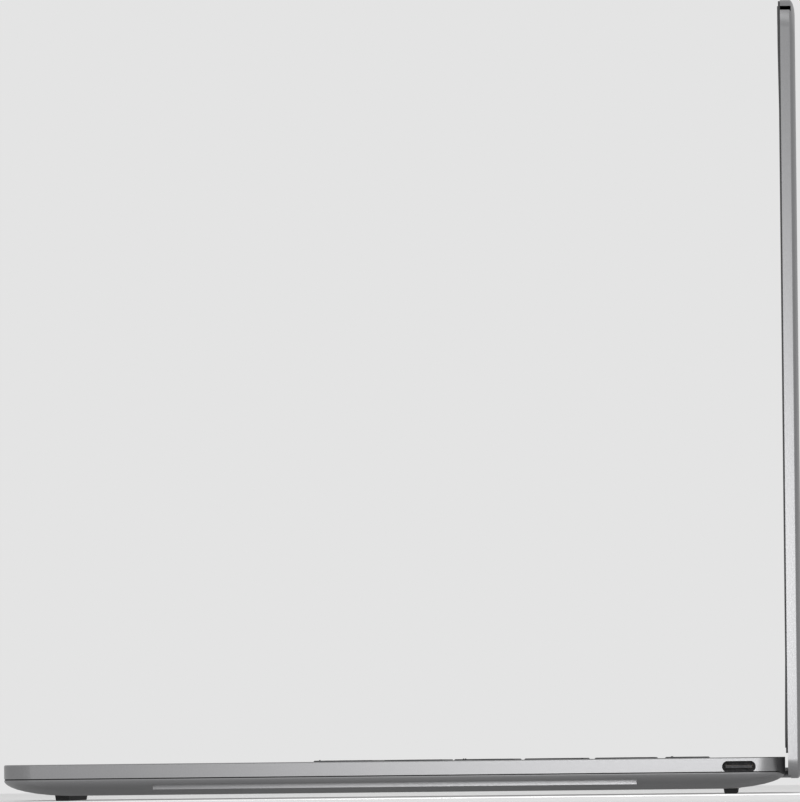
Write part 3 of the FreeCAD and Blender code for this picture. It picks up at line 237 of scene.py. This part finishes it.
smoothed_copy("bottom_cover", "bottom_cover_shell", CASE_SMOOTH_DEGREES, blasted_silver)

# ---- Cover screws -----------------------------------------------------------------------------------------
# Six small countersunk steel screws hold the bottom cover up against the bosses of the top case. They are
# turned, then dulled in tumbling.

steel = finish("tumbled_steel", (0.46, 0.455, 0.445), fleck=0.06, fleck_mm=0.8, metallic=1.0, roughness=0.32,
               spread=0.2, grain_mm=0.2, grain_depth_mm=0.003)
wear(node["bottom_cover_screws"], steel)

# ---- Feet -------------------------------------------------------------------------------------------------
# Two long black rubber bars are glued into seats in the bottom cover, one ahead and one behind. They are
# moulded with round ends and sides that draw in towards the table.

rubber = finish("black_rubber", (0.050, 0.050, 0.051), fleck=0.15, fleck_mm=0.6, roughness=0.78, spread=0.08,
                grain_mm=0.25, grain_depth_mm=0.02)
FOOT_DRAW, FOOT_END_SHARE, FOOT_EDGE = 0.86, 0.36, 0.00022
for cad_name in ("foot_front", "foot_rear"):
    low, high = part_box(cad_name)
    middle, size = (low + high) / 2, high - low
    bpy.ops.object.select_all(action="DESELECT")
    bpy.ops.mesh.primitive_cube_add(size=1, location=middle, scale=size)
    foot = bpy.context.active_object
    foot.name = cad_name.replace("foot", "bar_foot")
    bpy.ops.object.transform_apply(location=True, rotation=True, scale=True)
    bpy.ops.object.mode_set(mode="EDIT")
    mesh = bmesh.from_edit_mesh(foot.data)
    for edge in mesh.edges:
        edge.select_set(abs(edge.verts[0].co.z - edge.verts[1].co.z) > size.z / 2)
    bmesh.update_edit_mesh(foot.data)
    bpy.ops.mesh.bevel(offset=size.y * FOOT_END_SHARE, segments=6)
    bpy.ops.mesh.select_all(action="DESELECT")
    mesh = bmesh.from_edit_mesh(foot.data)
    for face in mesh.faces:
        face.select_set(face.normal.z < -0.9)
    bmesh.update_edit_mesh(foot.data)
    bpy.ops.transform.resize(value=((size.x - size.y * (1 - FOOT_DRAW)) / size.x, FOOT_DRAW, 1))
    bpy.ops.mesh.bevel(offset=FOOT_EDGE, segments=2, affect="EDGES")
    bpy.ops.object.mode_set(mode="OBJECT")
    bpy.ops.object.shade_smooth_by_angle(angle=math.radians(40))
    wear(foot, rubber)
    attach(foot, "base")
    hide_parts(cad_name)

# ---- Top case ---------------------------------------------------------------------------------------------
# The deck and the straight sides of the base are one aluminium milling, with a rounded well for each key and
# a window for the touchpad. It has the same blasted and anodised skin as the cover.

smoothed_copy("top_case", "top_case_shell", CASE_SMOOTH_DEGREES, blasted_silver)

# ---- Seam shade strip -------------------------------------------------------------------------------------
# A thin black strip runs round the joint between the top case and the cover, set back from the skin. It is
# painted shade: its near-black stands in for the shade in the gap of the seam. It stops at the dark trims at
# the back.

SEAM_HEIGHT, SEAM_SETBACK, SEAM_WIDTH = 0.0003, 0.00018, 0.00034
CORNER_RADIUS = 0.0071
rim_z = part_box("bottom_cover")[1].z
base_low, base_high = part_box("top_case")
trim_y, rear_y = (corner.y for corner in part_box("rear_trim_left"))
half_x = base_high.x - SEAM_SETBACK
front_seam_y, rear_seam_y = base_low.y + SEAM_SETBACK, rear_y - SEAM_SETBACK
bpy.ops.object.select_all(action="DESELECT")
bpy.ops.mesh.primitive_plane_add(size=1, location=(0, (front_seam_y + rear_seam_y) / 2, rim_z))
seam = bpy.context.active_object
seam.name = "seam_shade_strip"
bpy.ops.object.mode_set(mode="EDIT")
bpy.ops.transform.resize(value=(2 * half_x, rear_seam_y - front_seam_y, 1))
bpy.ops.object.mode_set(mode="OBJECT")
bpy.ops.object.transform_apply(location=True, rotation=True, scale=True)
bpy.ops.object.mode_set(mode="EDIT")
bpy.ops.mesh.select_all(action="SELECT")
bpy.ops.mesh.bevel(offset=CORNER_RADIUS - SEAM_SETBACK, segments=14, affect="VERTICES")
bpy.ops.mesh.select_all(action="SELECT")
bpy.ops.mesh.inset(thickness=SEAM_WIDTH)
bpy.ops.mesh.delete(type="FACE")
bpy.ops.mesh.select_all(action="SELECT")
bpy.ops.mesh.extrude_region_move(TRANSFORM_OT_translate={"value": (0, 0, SEAM_HEIGHT)})
bpy.ops.mesh.select_all(action="SELECT")
bpy.ops.mesh.bisect(plane_co=(0, trim_y, 0), plane_no=(0, 1, 0), use_fill=True, clear_outer=True)
bpy.ops.mesh.select_all(action="SELECT")
bpy.ops.mesh.normals_make_consistent(inside=False)
bpy.ops.object.mode_set(mode="OBJECT")
# The strip's near-black colour is painted shade for the gap of the seam.
wear(seam, finish("seam_shade_black", (0.012, 0.012, 0.012), fleck=0.2, fleck_mm=0.5, roughness=0.9, spread=0.05,
                  grain_mm=0.2, grain_depth_mm=0.02))
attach(seam, "base")

# ---- Rear trims and hinge cover ---------------------------------------------------------------------------
# Matt black nylon trims with a fine spark texture close the back corners of the base. Between them a tube of
# the same blasted metal as the lid wraps the hinges and turns with the lid.

black_trim = finish("spark_black_nylon", (0.058, 0.058, 0.060), fleck=0.12, fleck_mm=0.5, roughness=0.55,
                    spread=0.1, grain_mm=0.18, grain_depth_mm=0.01)
for cad_name in ("rear_trim_left", "rear_trim_right"):
    smoothed_copy(cad_name, cad_name + "_moulding", 30, black_trim)
smoothed_copy("clutch_cover", "hinge_cover_tube", 30, blasted_silver)

# ---- Keycaps ----------------------------------------------------------------------------------------------
# Each cap is a thin black plastic moulding with rounded corners and a broken top edge. The legends are let
# into the tops as a second, pale shot, as on any plain keyboard.

key_plastic = finish("matt_black_keycap", (0.020, 0.020, 0.0215), fleck=0.10, fleck_mm=0.4, roughness=0.52,
                     spread=0.1, grain_mm=0.14, grain_depth_mm=0.006)
legend_ink = finish("pale_legend", (0.60, 0.60, 0.61), fleck=0.04, fleck_mm=0.3, roughness=0.6, spread=0.05)
LEGEND_PROUD, LEGEND_DEPTH = 0.00002, 0.00006
LETTER, WORD, PAIR = 0.0046, 0.0027, 0.0034
MARK_RADIUS, MARK_STROKE = 0.0012, 0.00028
LEGENDS = {
    "keys_numbers": ["~\n`", "!\n1", "@\n2", "#\n3", "$\n4", "%\n5", "^\n6", "&\n7", "*\n8", "(\n9", ")\n0",
                     "_\n-", "+\n="],
    "keys_upper_letters": ["Q", "W", "E", "R", "T", "Y", "U", "I", "O", "P", "{\n[", "}\n]"],
    "keys_home_letters": ["A", "S", "D", "F", "G", "H", "J", "K", "L", ":\n;", "\"\n'"],
    "keys_lower_letters": ["Z", "X", "C", "V", "B", "N", "M", "<\n,", ">\n.", "?\n/"],
    "keys_function": [f"F{number}" for number in range(1, 13)],
    "keys_modifiers_left": ["ctrl", "fn", "super", "alt"],
    "keys_modifiers_right": ["alt", "ctrl"],
    "key_backslash": ["|\n\\"], "key_escape": ["esc"], "key_delete": ["del"], "key_tab": ["tab"],
    "key_backspace": ["backspace"], "key_caps_lock": ["caps lock"], "key_enter": ["enter"],
    "key_shift_left": ["shift"], "key_shift_right": ["shift"], "key_space": [""], "power_button": [""],
    "key_arrow_left": [""], "key_arrow_up": [""], "key_arrow_down": [""], "key_arrow_right": [""],
}
ARROW_TURNS = {"key_arrow_right": 0, "key_arrow_up": 90, "key_arrow_left": 180, "key_arrow_down": 270}


def cap_boxes(piece):
    """The lowest and highest corners of each separate cap, from left to right."""
    mesh = bmesh.new()
    mesh.from_mesh(piece.data)
    waiting, found = set(mesh.verts), []
    while waiting:
        front, island = [waiting.pop()], []
        while front:
            point = front.pop()
            island.append(point.co.copy())
            for edge in point.link_edges:
                other = edge.other_vert(point)
                if other in waiting:
                    waiting.remove(other)
                    front.append(other)
        low = Vector([min(place[axis] for place in island) for axis in range(3)])
        high = Vector([max(place[axis] for place in island) for axis in range(3)])
        found.append((low, high))
    mesh.free()
    return sorted(found, key=lambda corners: corners[0].x)


def legend_text(words, low, high):
    """A thin slab of lettering on top of the cap between these corners."""
    bpy.ops.object.text_add(location=((low.x + high.x) / 2, (low.y + high.y) / 2,
                                      high.z + LEGEND_PROUD - LEGEND_DEPTH / 2))
    made = bpy.context.active_object
    made.data.body = words
    made.data.align_x, made.data.align_y = "CENTER", "CENTER"
    made.data.size = PAIR if "\n" in words else LETTER if len(words) == 1 else WORD
    made.data.extrude = LEGEND_DEPTH / 2
    made.data.resolution_u = 2
    made.data.space_line = 1.15
    return made


def power_mark(low, high):
    """The ring with a bar across its gap that stands for power."""
    level = high.z + LEGEND_PROUD - LEGEND_DEPTH / 2
    middle = Vector(((low.x + high.x) / 2, (low.y + high.y) / 2, level))
    bpy.ops.mesh.primitive_torus_add(major_segments=36, minor_segments=6, major_radius=MARK_RADIUS,
                                     minor_radius=MARK_STROKE / 2, location=middle)
    ring = bpy.context.active_object
    bpy.ops.object.transform_apply(location=True, rotation=True, scale=True)
    bpy.ops.object.mode_set(mode="EDIT")
    mesh = bmesh.from_edit_mesh(ring.data)
    for face in mesh.faces:
        place = face.calc_center_median() - middle
        face.select_set(place.y > 0.0006 and abs(place.x) < 0.0005)
    bmesh.update_edit_mesh(ring.data)
    bpy.ops.mesh.delete(type="FACE")
    bpy.ops.mesh.select_all(action="SELECT")
    bpy.ops.mesh.fill_holes(sides=6)
    bpy.ops.transform.resize(value=(1, 1, LEGEND_DEPTH / MARK_STROKE), center_override=middle)
    bpy.ops.object.mode_set(mode="OBJECT")
    bpy.ops.object.select_all(action="DESELECT")
    bpy.ops.mesh.primitive_cylinder_add(vertices=6, radius=MARK_STROKE / 2, depth=MARK_RADIUS,
                                        location=middle + Vector((0, 0.0011, 0)),
                                        rotation=(math.radians(90), 0, 0))
    bar = bpy.context.active_object
    bar.scale.y = LEGEND_DEPTH / MARK_STROKE
    ring.select_set(True)
    bpy.context.view_layer.objects.active = ring
    bpy.ops.object.join()
    return ring


def arrow_mark(turn, low, high):
    """A small solid triangle that points the way the key moves."""
    bpy.ops.mesh.primitive_cylinder_add(vertices=3, radius=MARK_RADIUS, depth=LEGEND_DEPTH,
                                        location=((low.x + high.x) / 2, (low.y + high.y) / 2,
                                                  high.z + LEGEND_PROUD - LEGEND_DEPTH / 2),
                                        rotation=(0, 0, math.radians(turn - 90)))
    return bpy.context.active_object


for cad_name, words in LEGENDS.items():
    caps = smoothed_copy(cad_name, cad_name + "_caps", 35, key_plastic)
    marks = []
    for text, (low, high) in zip(words, cap_boxes(caps)):
        bpy.ops.object.select_all(action="DESELECT")
        if text:
            marks.append(legend_text(text, low, high))
        elif cad_name in ARROW_TURNS:
            marks.append(arrow_mark(ARROW_TURNS[cad_name], low, high))
        elif cad_name == "power_button":
            marks.append(power_mark(low, high))
    if marks:
        bpy.ops.object.select_all(action="DESELECT")
        for mark in marks:
            mark.select_set(True)
        bpy.context.view_layer.objects.active = marks[0]
        bpy.ops.object.convert(target="MESH")
        if len(marks) > 1:
            bpy.ops.object.join()
        lettering = bpy.context.active_object
        bpy.ops.object.transform_apply(location=True, rotation=True, scale=True)
        bpy.ops.object.mode_set(mode="EDIT")
        bpy.ops.mesh.select_all(action="SELECT")
        bpy.ops.mesh.remove_doubles(threshold=MERGE_WITHIN)
        bpy.ops.object.mode_set(mode="OBJECT")
        lettering.name = cad_name + "_legends"
        wear(lettering, legend_ink)
        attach(lettering, body_of[cad_name])

# ---- Tactile bars -----------------------------------------------------------------------------------------
# Low bars are moulded near the front edge of a few caps, so that fingers find the home keys, the arrows and
# the groups of function keys without looking.

BAR_LENGTH, BAR_DEPTH, BAR_RISE, BAR_FROM_EDGE = 0.0034, 0.0004, 0.00017, 0.0013
BARRED_KEYS = {"keys_home_letters": (3, 6), "key_arrow_down": (0,), "keys_function": (3, 7)}
for cad_name, numbers in BARRED_KEYS.items():
    all_caps = cap_boxes(bpy.data.objects[cad_name + "_caps"])
    for number in numbers:
        low, high = all_caps[number]
        bpy.ops.object.select_all(action="DESELECT")
        bpy.ops.mesh.primitive_cube_add(size=1, location=((low.x + high.x) / 2, low.y + BAR_FROM_EDGE, high.z),
                                        scale=(BAR_LENGTH, BAR_DEPTH, 2 * BAR_RISE))
        bar = bpy.context.active_object
        bar.name = f"{cad_name}_bar_{number}"
        bpy.ops.object.transform_apply(location=True, rotation=True, scale=True)
        bpy.ops.object.mode_set(mode="EDIT")
        mesh = bmesh.from_edit_mesh(bar.data)
        for edge in mesh.edges:
            edge.select_set(all(point.co.z > high.z for point in edge.verts))
        bmesh.update_edit_mesh(bar.data)
        bpy.ops.mesh.bevel(offset=BAR_RISE * 0.8, segments=3)
        bpy.ops.object.mode_set(mode="OBJECT")
        bpy.ops.object.shade_smooth_by_angle(angle=math.radians(40))
        wear(bar, key_plastic)
        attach(bar, body_of[cad_name])

# ---- Keyboard plate, domes and levers ---------------------------------------------------------------------
# Under the caps lie a printed polyester membrane on a punched steel plate, a silicone dome for each key, and
# pairs of crossed acetal levers that keep each cap level.

wear(node["keyboard_plate"], finish("black_coated_plate", (0.022, 0.022, 0.024), fleck=0.2, fleck_mm=2.0,
                                    roughness=0.45, spread=0.15, grain_mm=0.3, grain_depth_mm=0.004))
silicone = finish("milky_silicone", (0.66, 0.66, 0.63), fleck=0.03, fleck_mm=1.0, roughness=0.42, spread=0.1)
silicone.node_tree.nodes["Principled BSDF"].inputs["Transmission Weight"].default_value = 0.35
wear(node["key_domes"], silicone)
wear(node["key_levers"], finish("white_acetal", (0.74, 0.74, 0.71), fleck=0.03, fleck_mm=1.0, roughness=0.38,
                                spread=0.1))

# ---- Touchpad ---------------------------------------------------------------------------------------------
# One sheet of glass, etched on top and coated grey on its back to match the deck, hung from a pressed steel
# bracket along its rear edge so that the front clicks down.

etched_glass = finish("etched_grey_glass", (0.235, 0.235, 0.24), fleck=0.015, fleck_mm=0.3, roughness=0.34,
                      spread=0.06, grain_mm=0.1, grain_depth_mm=0.002)
smoothed_copy("touchpad_plate", "touchpad_sheet", 30, etched_glass)
wear(node["touchpad_bracket"], steel)

# ---- Side ports -------------------------------------------------------------------------------------------
# Each port is a deep-drawn steel shell round a black tongue that carries a row of gilt contacts above and
# below, set back from its end. The shell is coloured near black as painted shade for the deep inside of the
# port. It sits just inside a round-ended mouth in the side of the case.

PORT_BELOW_DECK = 0.00237
TONGUE_HALF_WIDTH, TONGUE_HALF_HEIGHT = 0.0035, 0.00036
CONTACT_PITCH, CONTACT_GAP_SHARE, CONTACT_LEVEL, CONTACT_SETBACK = 0.0005, 0.45, 0.0003, 0.0025


def port_material(name, centre, half_depth):
    """Steel coloured near black, as painted shade for the inside of the port, with black plastic and gilt
    strips where the tongue lies about this centre.
    """
    # The near-black colour of the shell is painted shade for the inside of the port.
    made = finish(name, (0.020, 0.020, 0.021), fleck=0.15, fleck_mm=0.5, metallic=0.7, roughness=0.42,
                  spread=0.2)
    nodes, links = made.node_tree.nodes, made.node_tree.links
    shader = nodes["Principled BSDF"]
    where = nodes.new("ShaderNodeTexCoord")
    centring = nodes.new("ShaderNodeMapping")
    centring.inputs["Location"].default_value = -centre
    links.new(where.outputs["Object"], centring.inputs["Vector"])
    apart = nodes.new("ShaderNodeSeparateXYZ")
    links.new(centring.outputs["Vector"], apart.inputs["Vector"])

    def worked_out(operation, first, second):
        step = nodes.new("ShaderNodeMath")
        step.operation = operation
        for socket, value in zip(step.inputs, (first, second)):
            if isinstance(value, float):
                socket.default_value = value
            else:
                links.new(value, socket)
        return step.outputs[0]

    off_x = worked_out("ABSOLUTE", apart.outputs["X"], 0.0)
    off_y = worked_out("ABSOLUTE", apart.outputs["Y"], 0.0)
    off_z = worked_out("ABSOLUTE", apart.outputs["Z"], 0.0)
    on_tongue = worked_out("MULTIPLY", worked_out("LESS_THAN", off_y, TONGUE_HALF_WIDTH),
                           worked_out("LESS_THAN", off_z, TONGUE_HALF_HEIGHT))
    across = worked_out("FRACT", worked_out("DIVIDE", apart.outputs["Y"], CONTACT_PITCH), 0.0)
    strips = worked_out("MULTIPLY", worked_out("GREATER_THAN", off_z, CONTACT_LEVEL),
                        worked_out("GREATER_THAN", across, CONTACT_GAP_SHARE))
    gilt = worked_out("MULTIPLY", strips, worked_out("LESS_THAN", off_x, half_depth - CONTACT_SETBACK))
    tongue_tone = nodes.new("ShaderNodeMix")
    tongue_tone.data_type = "RGBA"
    tongue_tone.inputs["A"].default_value = (0.030, 0.030, 0.032, 1)
    tongue_tone.inputs["B"].default_value = (0.45, 0.31, 0.12, 1)
    links.new(gilt, tongue_tone.inputs["Factor"])
    whole = nodes.new("ShaderNodeMix")
    whole.data_type = "RGBA"
    links.new(on_tongue, whole.inputs["Factor"])
    links.new(nodes["tones"].outputs["Color"], whole.inputs["A"])
    links.new(tongue_tone.outputs["Result"], whole.inputs["B"])
    links.new(whole.outputs["Result"], shader.inputs["Base Color"])
    return made


for cad_name in ("usb_port_left", "usb_port_right"):
    low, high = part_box(cad_name)
    inner = Vector(((low.x + high.x) / 2, (low.y + high.y) / 2, deck_z - PORT_BELOW_DECK))
    wear(node[cad_name], port_material(cad_name + "_metal", inner, (high.x - low.x) / 2))

# ---- Board and its parts ----------------------------------------------------------------------------------
# A green glass-fibre board with printed tracks carries the processor, the storage drive and the radio card.
# The chips are moulded in black epoxy, and the radio sits under a tinned steel can.


def board_material():
    """Green solder mask over copper tracks on a grid, with gilt vias."""
    made = finish("solder_mask", (0.018, 0.085, 0.045), fleck=0.15, fleck_mm=3.0, roughness=0.35, spread=0.2)
    nodes, links = made.node_tree.nodes, made.node_tree.links
    where = nodes.new("ShaderNodeTexCoord")
    tracks = nodes.new("ShaderNodeTexBrick")
    tracks.inputs["Scale"].default_value = 160.0
    tracks.inputs["Mortar Size"].default_value = 0.06
    tracks.inputs["Mortar"].default_value = (0.04, 0.19, 0.09, 1)
    links.new(where.outputs["Object"], tracks.inputs["Vector"])
    links.new(nodes["tones"].outputs["Color"], tracks.inputs["Color1"])
    links.new(nodes["tones"].outputs["Color"], tracks.inputs["Color2"])
    vias = nodes.new("ShaderNodeTexVoronoi")
    vias.inputs["Scale"].default_value = 260.0
    links.new(where.outputs["Object"], vias.inputs["Vector"])
    small = nodes.new("ShaderNodeMath")
    small.operation = "LESS_THAN"
    small.inputs[1].default_value = 0.12
    links.new(vias.outputs["Distance"], small.inputs[0])
    blend = nodes.new("ShaderNodeMix")
    blend.data_type = "RGBA"
    blend.inputs["B"].default_value = (0.55, 0.40, 0.15, 1)
    links.new(small.outputs[0], blend.inputs["Factor"])
    links.new(tracks.outputs["Color"], blend.inputs["A"])
    links.new(blend.outputs["Result"], nodes["Principled BSDF"].inputs["Base Color"])
    return made


epoxy = finish("black_epoxy", (0.024, 0.024, 0.026), fleck=0.12, fleck_mm=0.6, roughness=0.5, spread=0.12,
               grain_mm=0.15, grain_depth_mm=0.005)
wear(node["motherboard"], board_material())
wear(node["processor"], epoxy)
wear(node["storage_drive"], epoxy)
wear(node["wireless_card"], finish("tinned_can", (0.52, 0.52, 0.50), fleck=0.08, fleck_mm=2.0, metallic=1.0,
                                   roughness=0.28, spread=0.25, stretch=(0.2, 1, 1)))

# ---- Cooling ----------------------------------------------------------------------------------------------
# A flattened copper heat pipe leads from the processor to a stack of thin aluminium fins, which a moulded
# blower empties through. The housing and the rotor are black nylon.

wear(node["heat_pipe"], finish("drawn_copper", (0.62, 0.29, 0.17), fleck=0.12, fleck_mm=5.0, metallic=1.0,
                               roughness=0.30, spread=0.3, grain_mm=0.3, grain_depth_mm=0.003))
wear(node["fin_stack"], finish("thin_fin_metal", (0.55, 0.55, 0.56), fleck=0.05, fleck_mm=1.5, metallic=1.0,
                               roughness=0.35, spread=0.15, stretch=(1, 1, 0.1)))
wear(node["fan_housing"], black_trim)
wear(node["fan_rotor"], finish("gloss_black_nylon", (0.028, 0.028, 0.030), fleck=0.1, fleck_mm=0.8,
                               roughness=0.36, spread=0.15))

# ---- Battery and speakers ---------------------------------------------------------------------------------
# Three flat lithium cells in black film are taped side by side under the touchpad. A narrow speaker box is
# screwed in on each side of them.

wear(node["battery_pack"], finish("black_cell_film", (0.030, 0.030, 0.033), fleck=0.25, fleck_mm=9.0,
                                  roughness=0.34, spread=0.25, grain_mm=2.5, grain_depth_mm=0.03))
for cad_name in ("speaker_left", "speaker_right"):
    wear(node[cad_name], black_trim)

# ---- Hinges -----------------------------------------------------------------------------------------------
# Each side has a steel pin, pressed into a leaf that is screwed to the lid and turning in a knuckle on a
# bracket that is screwed to the base. The leaves and brackets are blackened; the pins are ground bright.

blackened = finish("blackened_steel", (0.070, 0.070, 0.073), fleck=0.12, fleck_mm=0.7, metallic=0.9,
                   roughness=0.42, spread=0.15, grain_mm=0.2, grain_depth_mm=0.004)
for cad_name in ("hinge_bracket_left", "hinge_bracket_right", "hinge_leaf_left", "hinge_leaf_right"):
    wear(node[cad_name], blackened)
wear(node["hinge_pins"], finish("ground_steel", (0.50, 0.50, 0.49), fleck=0.06, fleck_mm=0.5, metallic=1.0,
                                roughness=0.18, spread=0.2, stretch=(12, 1, 1)))
wear(node["hinge_screws_base"], steel)
wear(node["hinge_screws_lid"], steel)

# ---- Lid --------------------------------------------------------------------------------------------------
# The lid is a shallow aluminium tray with straight sides and a back that curves over at every edge. Its back
# is quite plain, and it has the same blasted and anodised skin as the base.

smoothed_copy("lid_cover", "lid_shell", CASE_SMOOTH_DEGREES, blasted_silver)

# ---- Display ----------------------------------------------------------------------------------------------
# A sheet of polished glass over the whole display, printed black round the panel that it is bonded to, inside
# a soft black gasket with four low pads that meet the deck when the lid is shut.

PRINT_REACH = 0.0016


def display_material():
    """Polished glass: jet black over the printed border, and a shade lighter and bluer over the panel."""
    made = finish("bonded_display_glass", (0.004, 0.004, 0.0045), fleck=0.02, fleck_mm=30, roughness=0.055,
                  spread=0.04)
    nodes, links = made.node_tree.nodes, made.node_tree.links
    low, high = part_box("display_panel")
    middle, half = (low + high) / 2, (high - low) / 2
    where = nodes.new("ShaderNodeTexCoord")
    centring = nodes.new("ShaderNodeMapping")
    centring.inputs["Location"].default_value = -middle
    links.new(where.outputs["Object"], centring.inputs["Vector"])
    apart = nodes.new("ShaderNodeSeparateXYZ")
    links.new(centring.outputs["Vector"], apart.inputs["Vector"])
    inside = []
    for axis, reach in (("X", half.x - PRINT_REACH), ("Z", half.z - PRINT_REACH)):
        size = nodes.new("ShaderNodeMath")
        size.operation = "ABSOLUTE"
        within = nodes.new("ShaderNodeMath")
        within.operation = "LESS_THAN"
        within.inputs[1].default_value = reach
        links.new(apart.outputs[axis], size.inputs[0])
        links.new(size.outputs[0], within.inputs[0])
        inside.append(within)
    both = nodes.new("ShaderNodeMath")
    both.operation = "MULTIPLY"
    links.new(inside[0].outputs[0], both.inputs[0])
    links.new(inside[1].outputs[0], both.inputs[1])
    tint = nodes.new("ShaderNodeMix")
    tint.data_type = "RGBA"
    tint.inputs["B"].default_value = (0.0105, 0.0112, 0.0130, 1)
    links.new(both.outputs[0], tint.inputs["Factor"])
    links.new(nodes["tones"].outputs["Color"], tint.inputs["A"])
    links.new(tint.outputs["Result"], nodes["Principled BSDF"].inputs["Base Color"])
    return made


smoothed_copy("display_glass", "display_sheet", 30, display_material())
smoothed_copy("display_gasket", "display_seal", 30, rubber)
wear(node["display_panel"], epoxy)
wear(node["camera_module"], epoxy)

# ---- Camera window ----------------------------------------------------------------------------------------
# A small round lens with a dark coated front looks out through the border above the display, with a light
# sensor on one side of it and a status light on the other. All three stand a hair proud of the glass.

glass_low, glass_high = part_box("display_glass")
window_z = (glass_high.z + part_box("display_panel")[1].z) / 2
lens_coat = finish("coated_lens", (0.010, 0.012, 0.030), fleck=0.2, fleck_mm=1.5, roughness=0.08, spread=0.2)
lens_ring = finish("lens_barrel", (0.018, 0.018, 0.019), fleck=0.1, fleck_mm=0.5, roughness=0.4, spread=0.1)
sensor_face = finish("smoked_window", (0.030, 0.024, 0.022), fleck=0.1, fleck_mm=0.5, roughness=0.2,
                     spread=0.1)
WINDOW_DEPTH, WINDOW_PROUD, FACE_STEP, FACE_DOME = 0.0003, 0.00003, 0.00005, 0.00003


def round_window(name, x, radius, rim, face_material):
    """A thin disc: a narrow ring, stepped in to a slightly domed face."""
    bpy.ops.object.select_all(action="DESELECT")
    bpy.ops.mesh.primitive_cylinder_add(vertices=40, radius=radius, depth=WINDOW_DEPTH,
                                        location=(x, glass_low.y + WINDOW_DEPTH / 2 - WINDOW_PROUD, window_z),
                                        rotation=(math.radians(90), 0, 0))
    made = bpy.context.active_object
    made.name = name
    bpy.ops.object.transform_apply(location=True, rotation=True, scale=True)
    wear(made, lens_ring, face_material)
    bpy.ops.object.mode_set(mode="EDIT")
    mesh = bmesh.from_edit_mesh(made.data)
    for face in mesh.faces:
        face.select_set(face.normal.y < -0.9)
    bmesh.update_edit_mesh(made.data)
    bpy.ops.mesh.inset(thickness=rim)
    made.active_material_index = 1
    bpy.ops.object.material_slot_assign()
    bpy.ops.transform.translate(value=(0, FACE_STEP, 0))
    bpy.ops.mesh.inset(thickness=(radius - rim) * 0.4)
    bpy.ops.transform.translate(value=(0, -FACE_DOME, 0))
    bpy.ops.object.mode_set(mode="OBJECT")
    bpy.ops.object.shade_smooth_by_angle(angle=math.radians(20))
    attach(made, "lid")


round_window("camera_lens", 0.0, 0.0013, 0.0004, lens_coat)
round_window("light_sensor", -0.0075, 0.0007, 0.00012, sensor_face)
round_window("status_light", 0.0055, 0.0004, 0.0001, sensor_face)
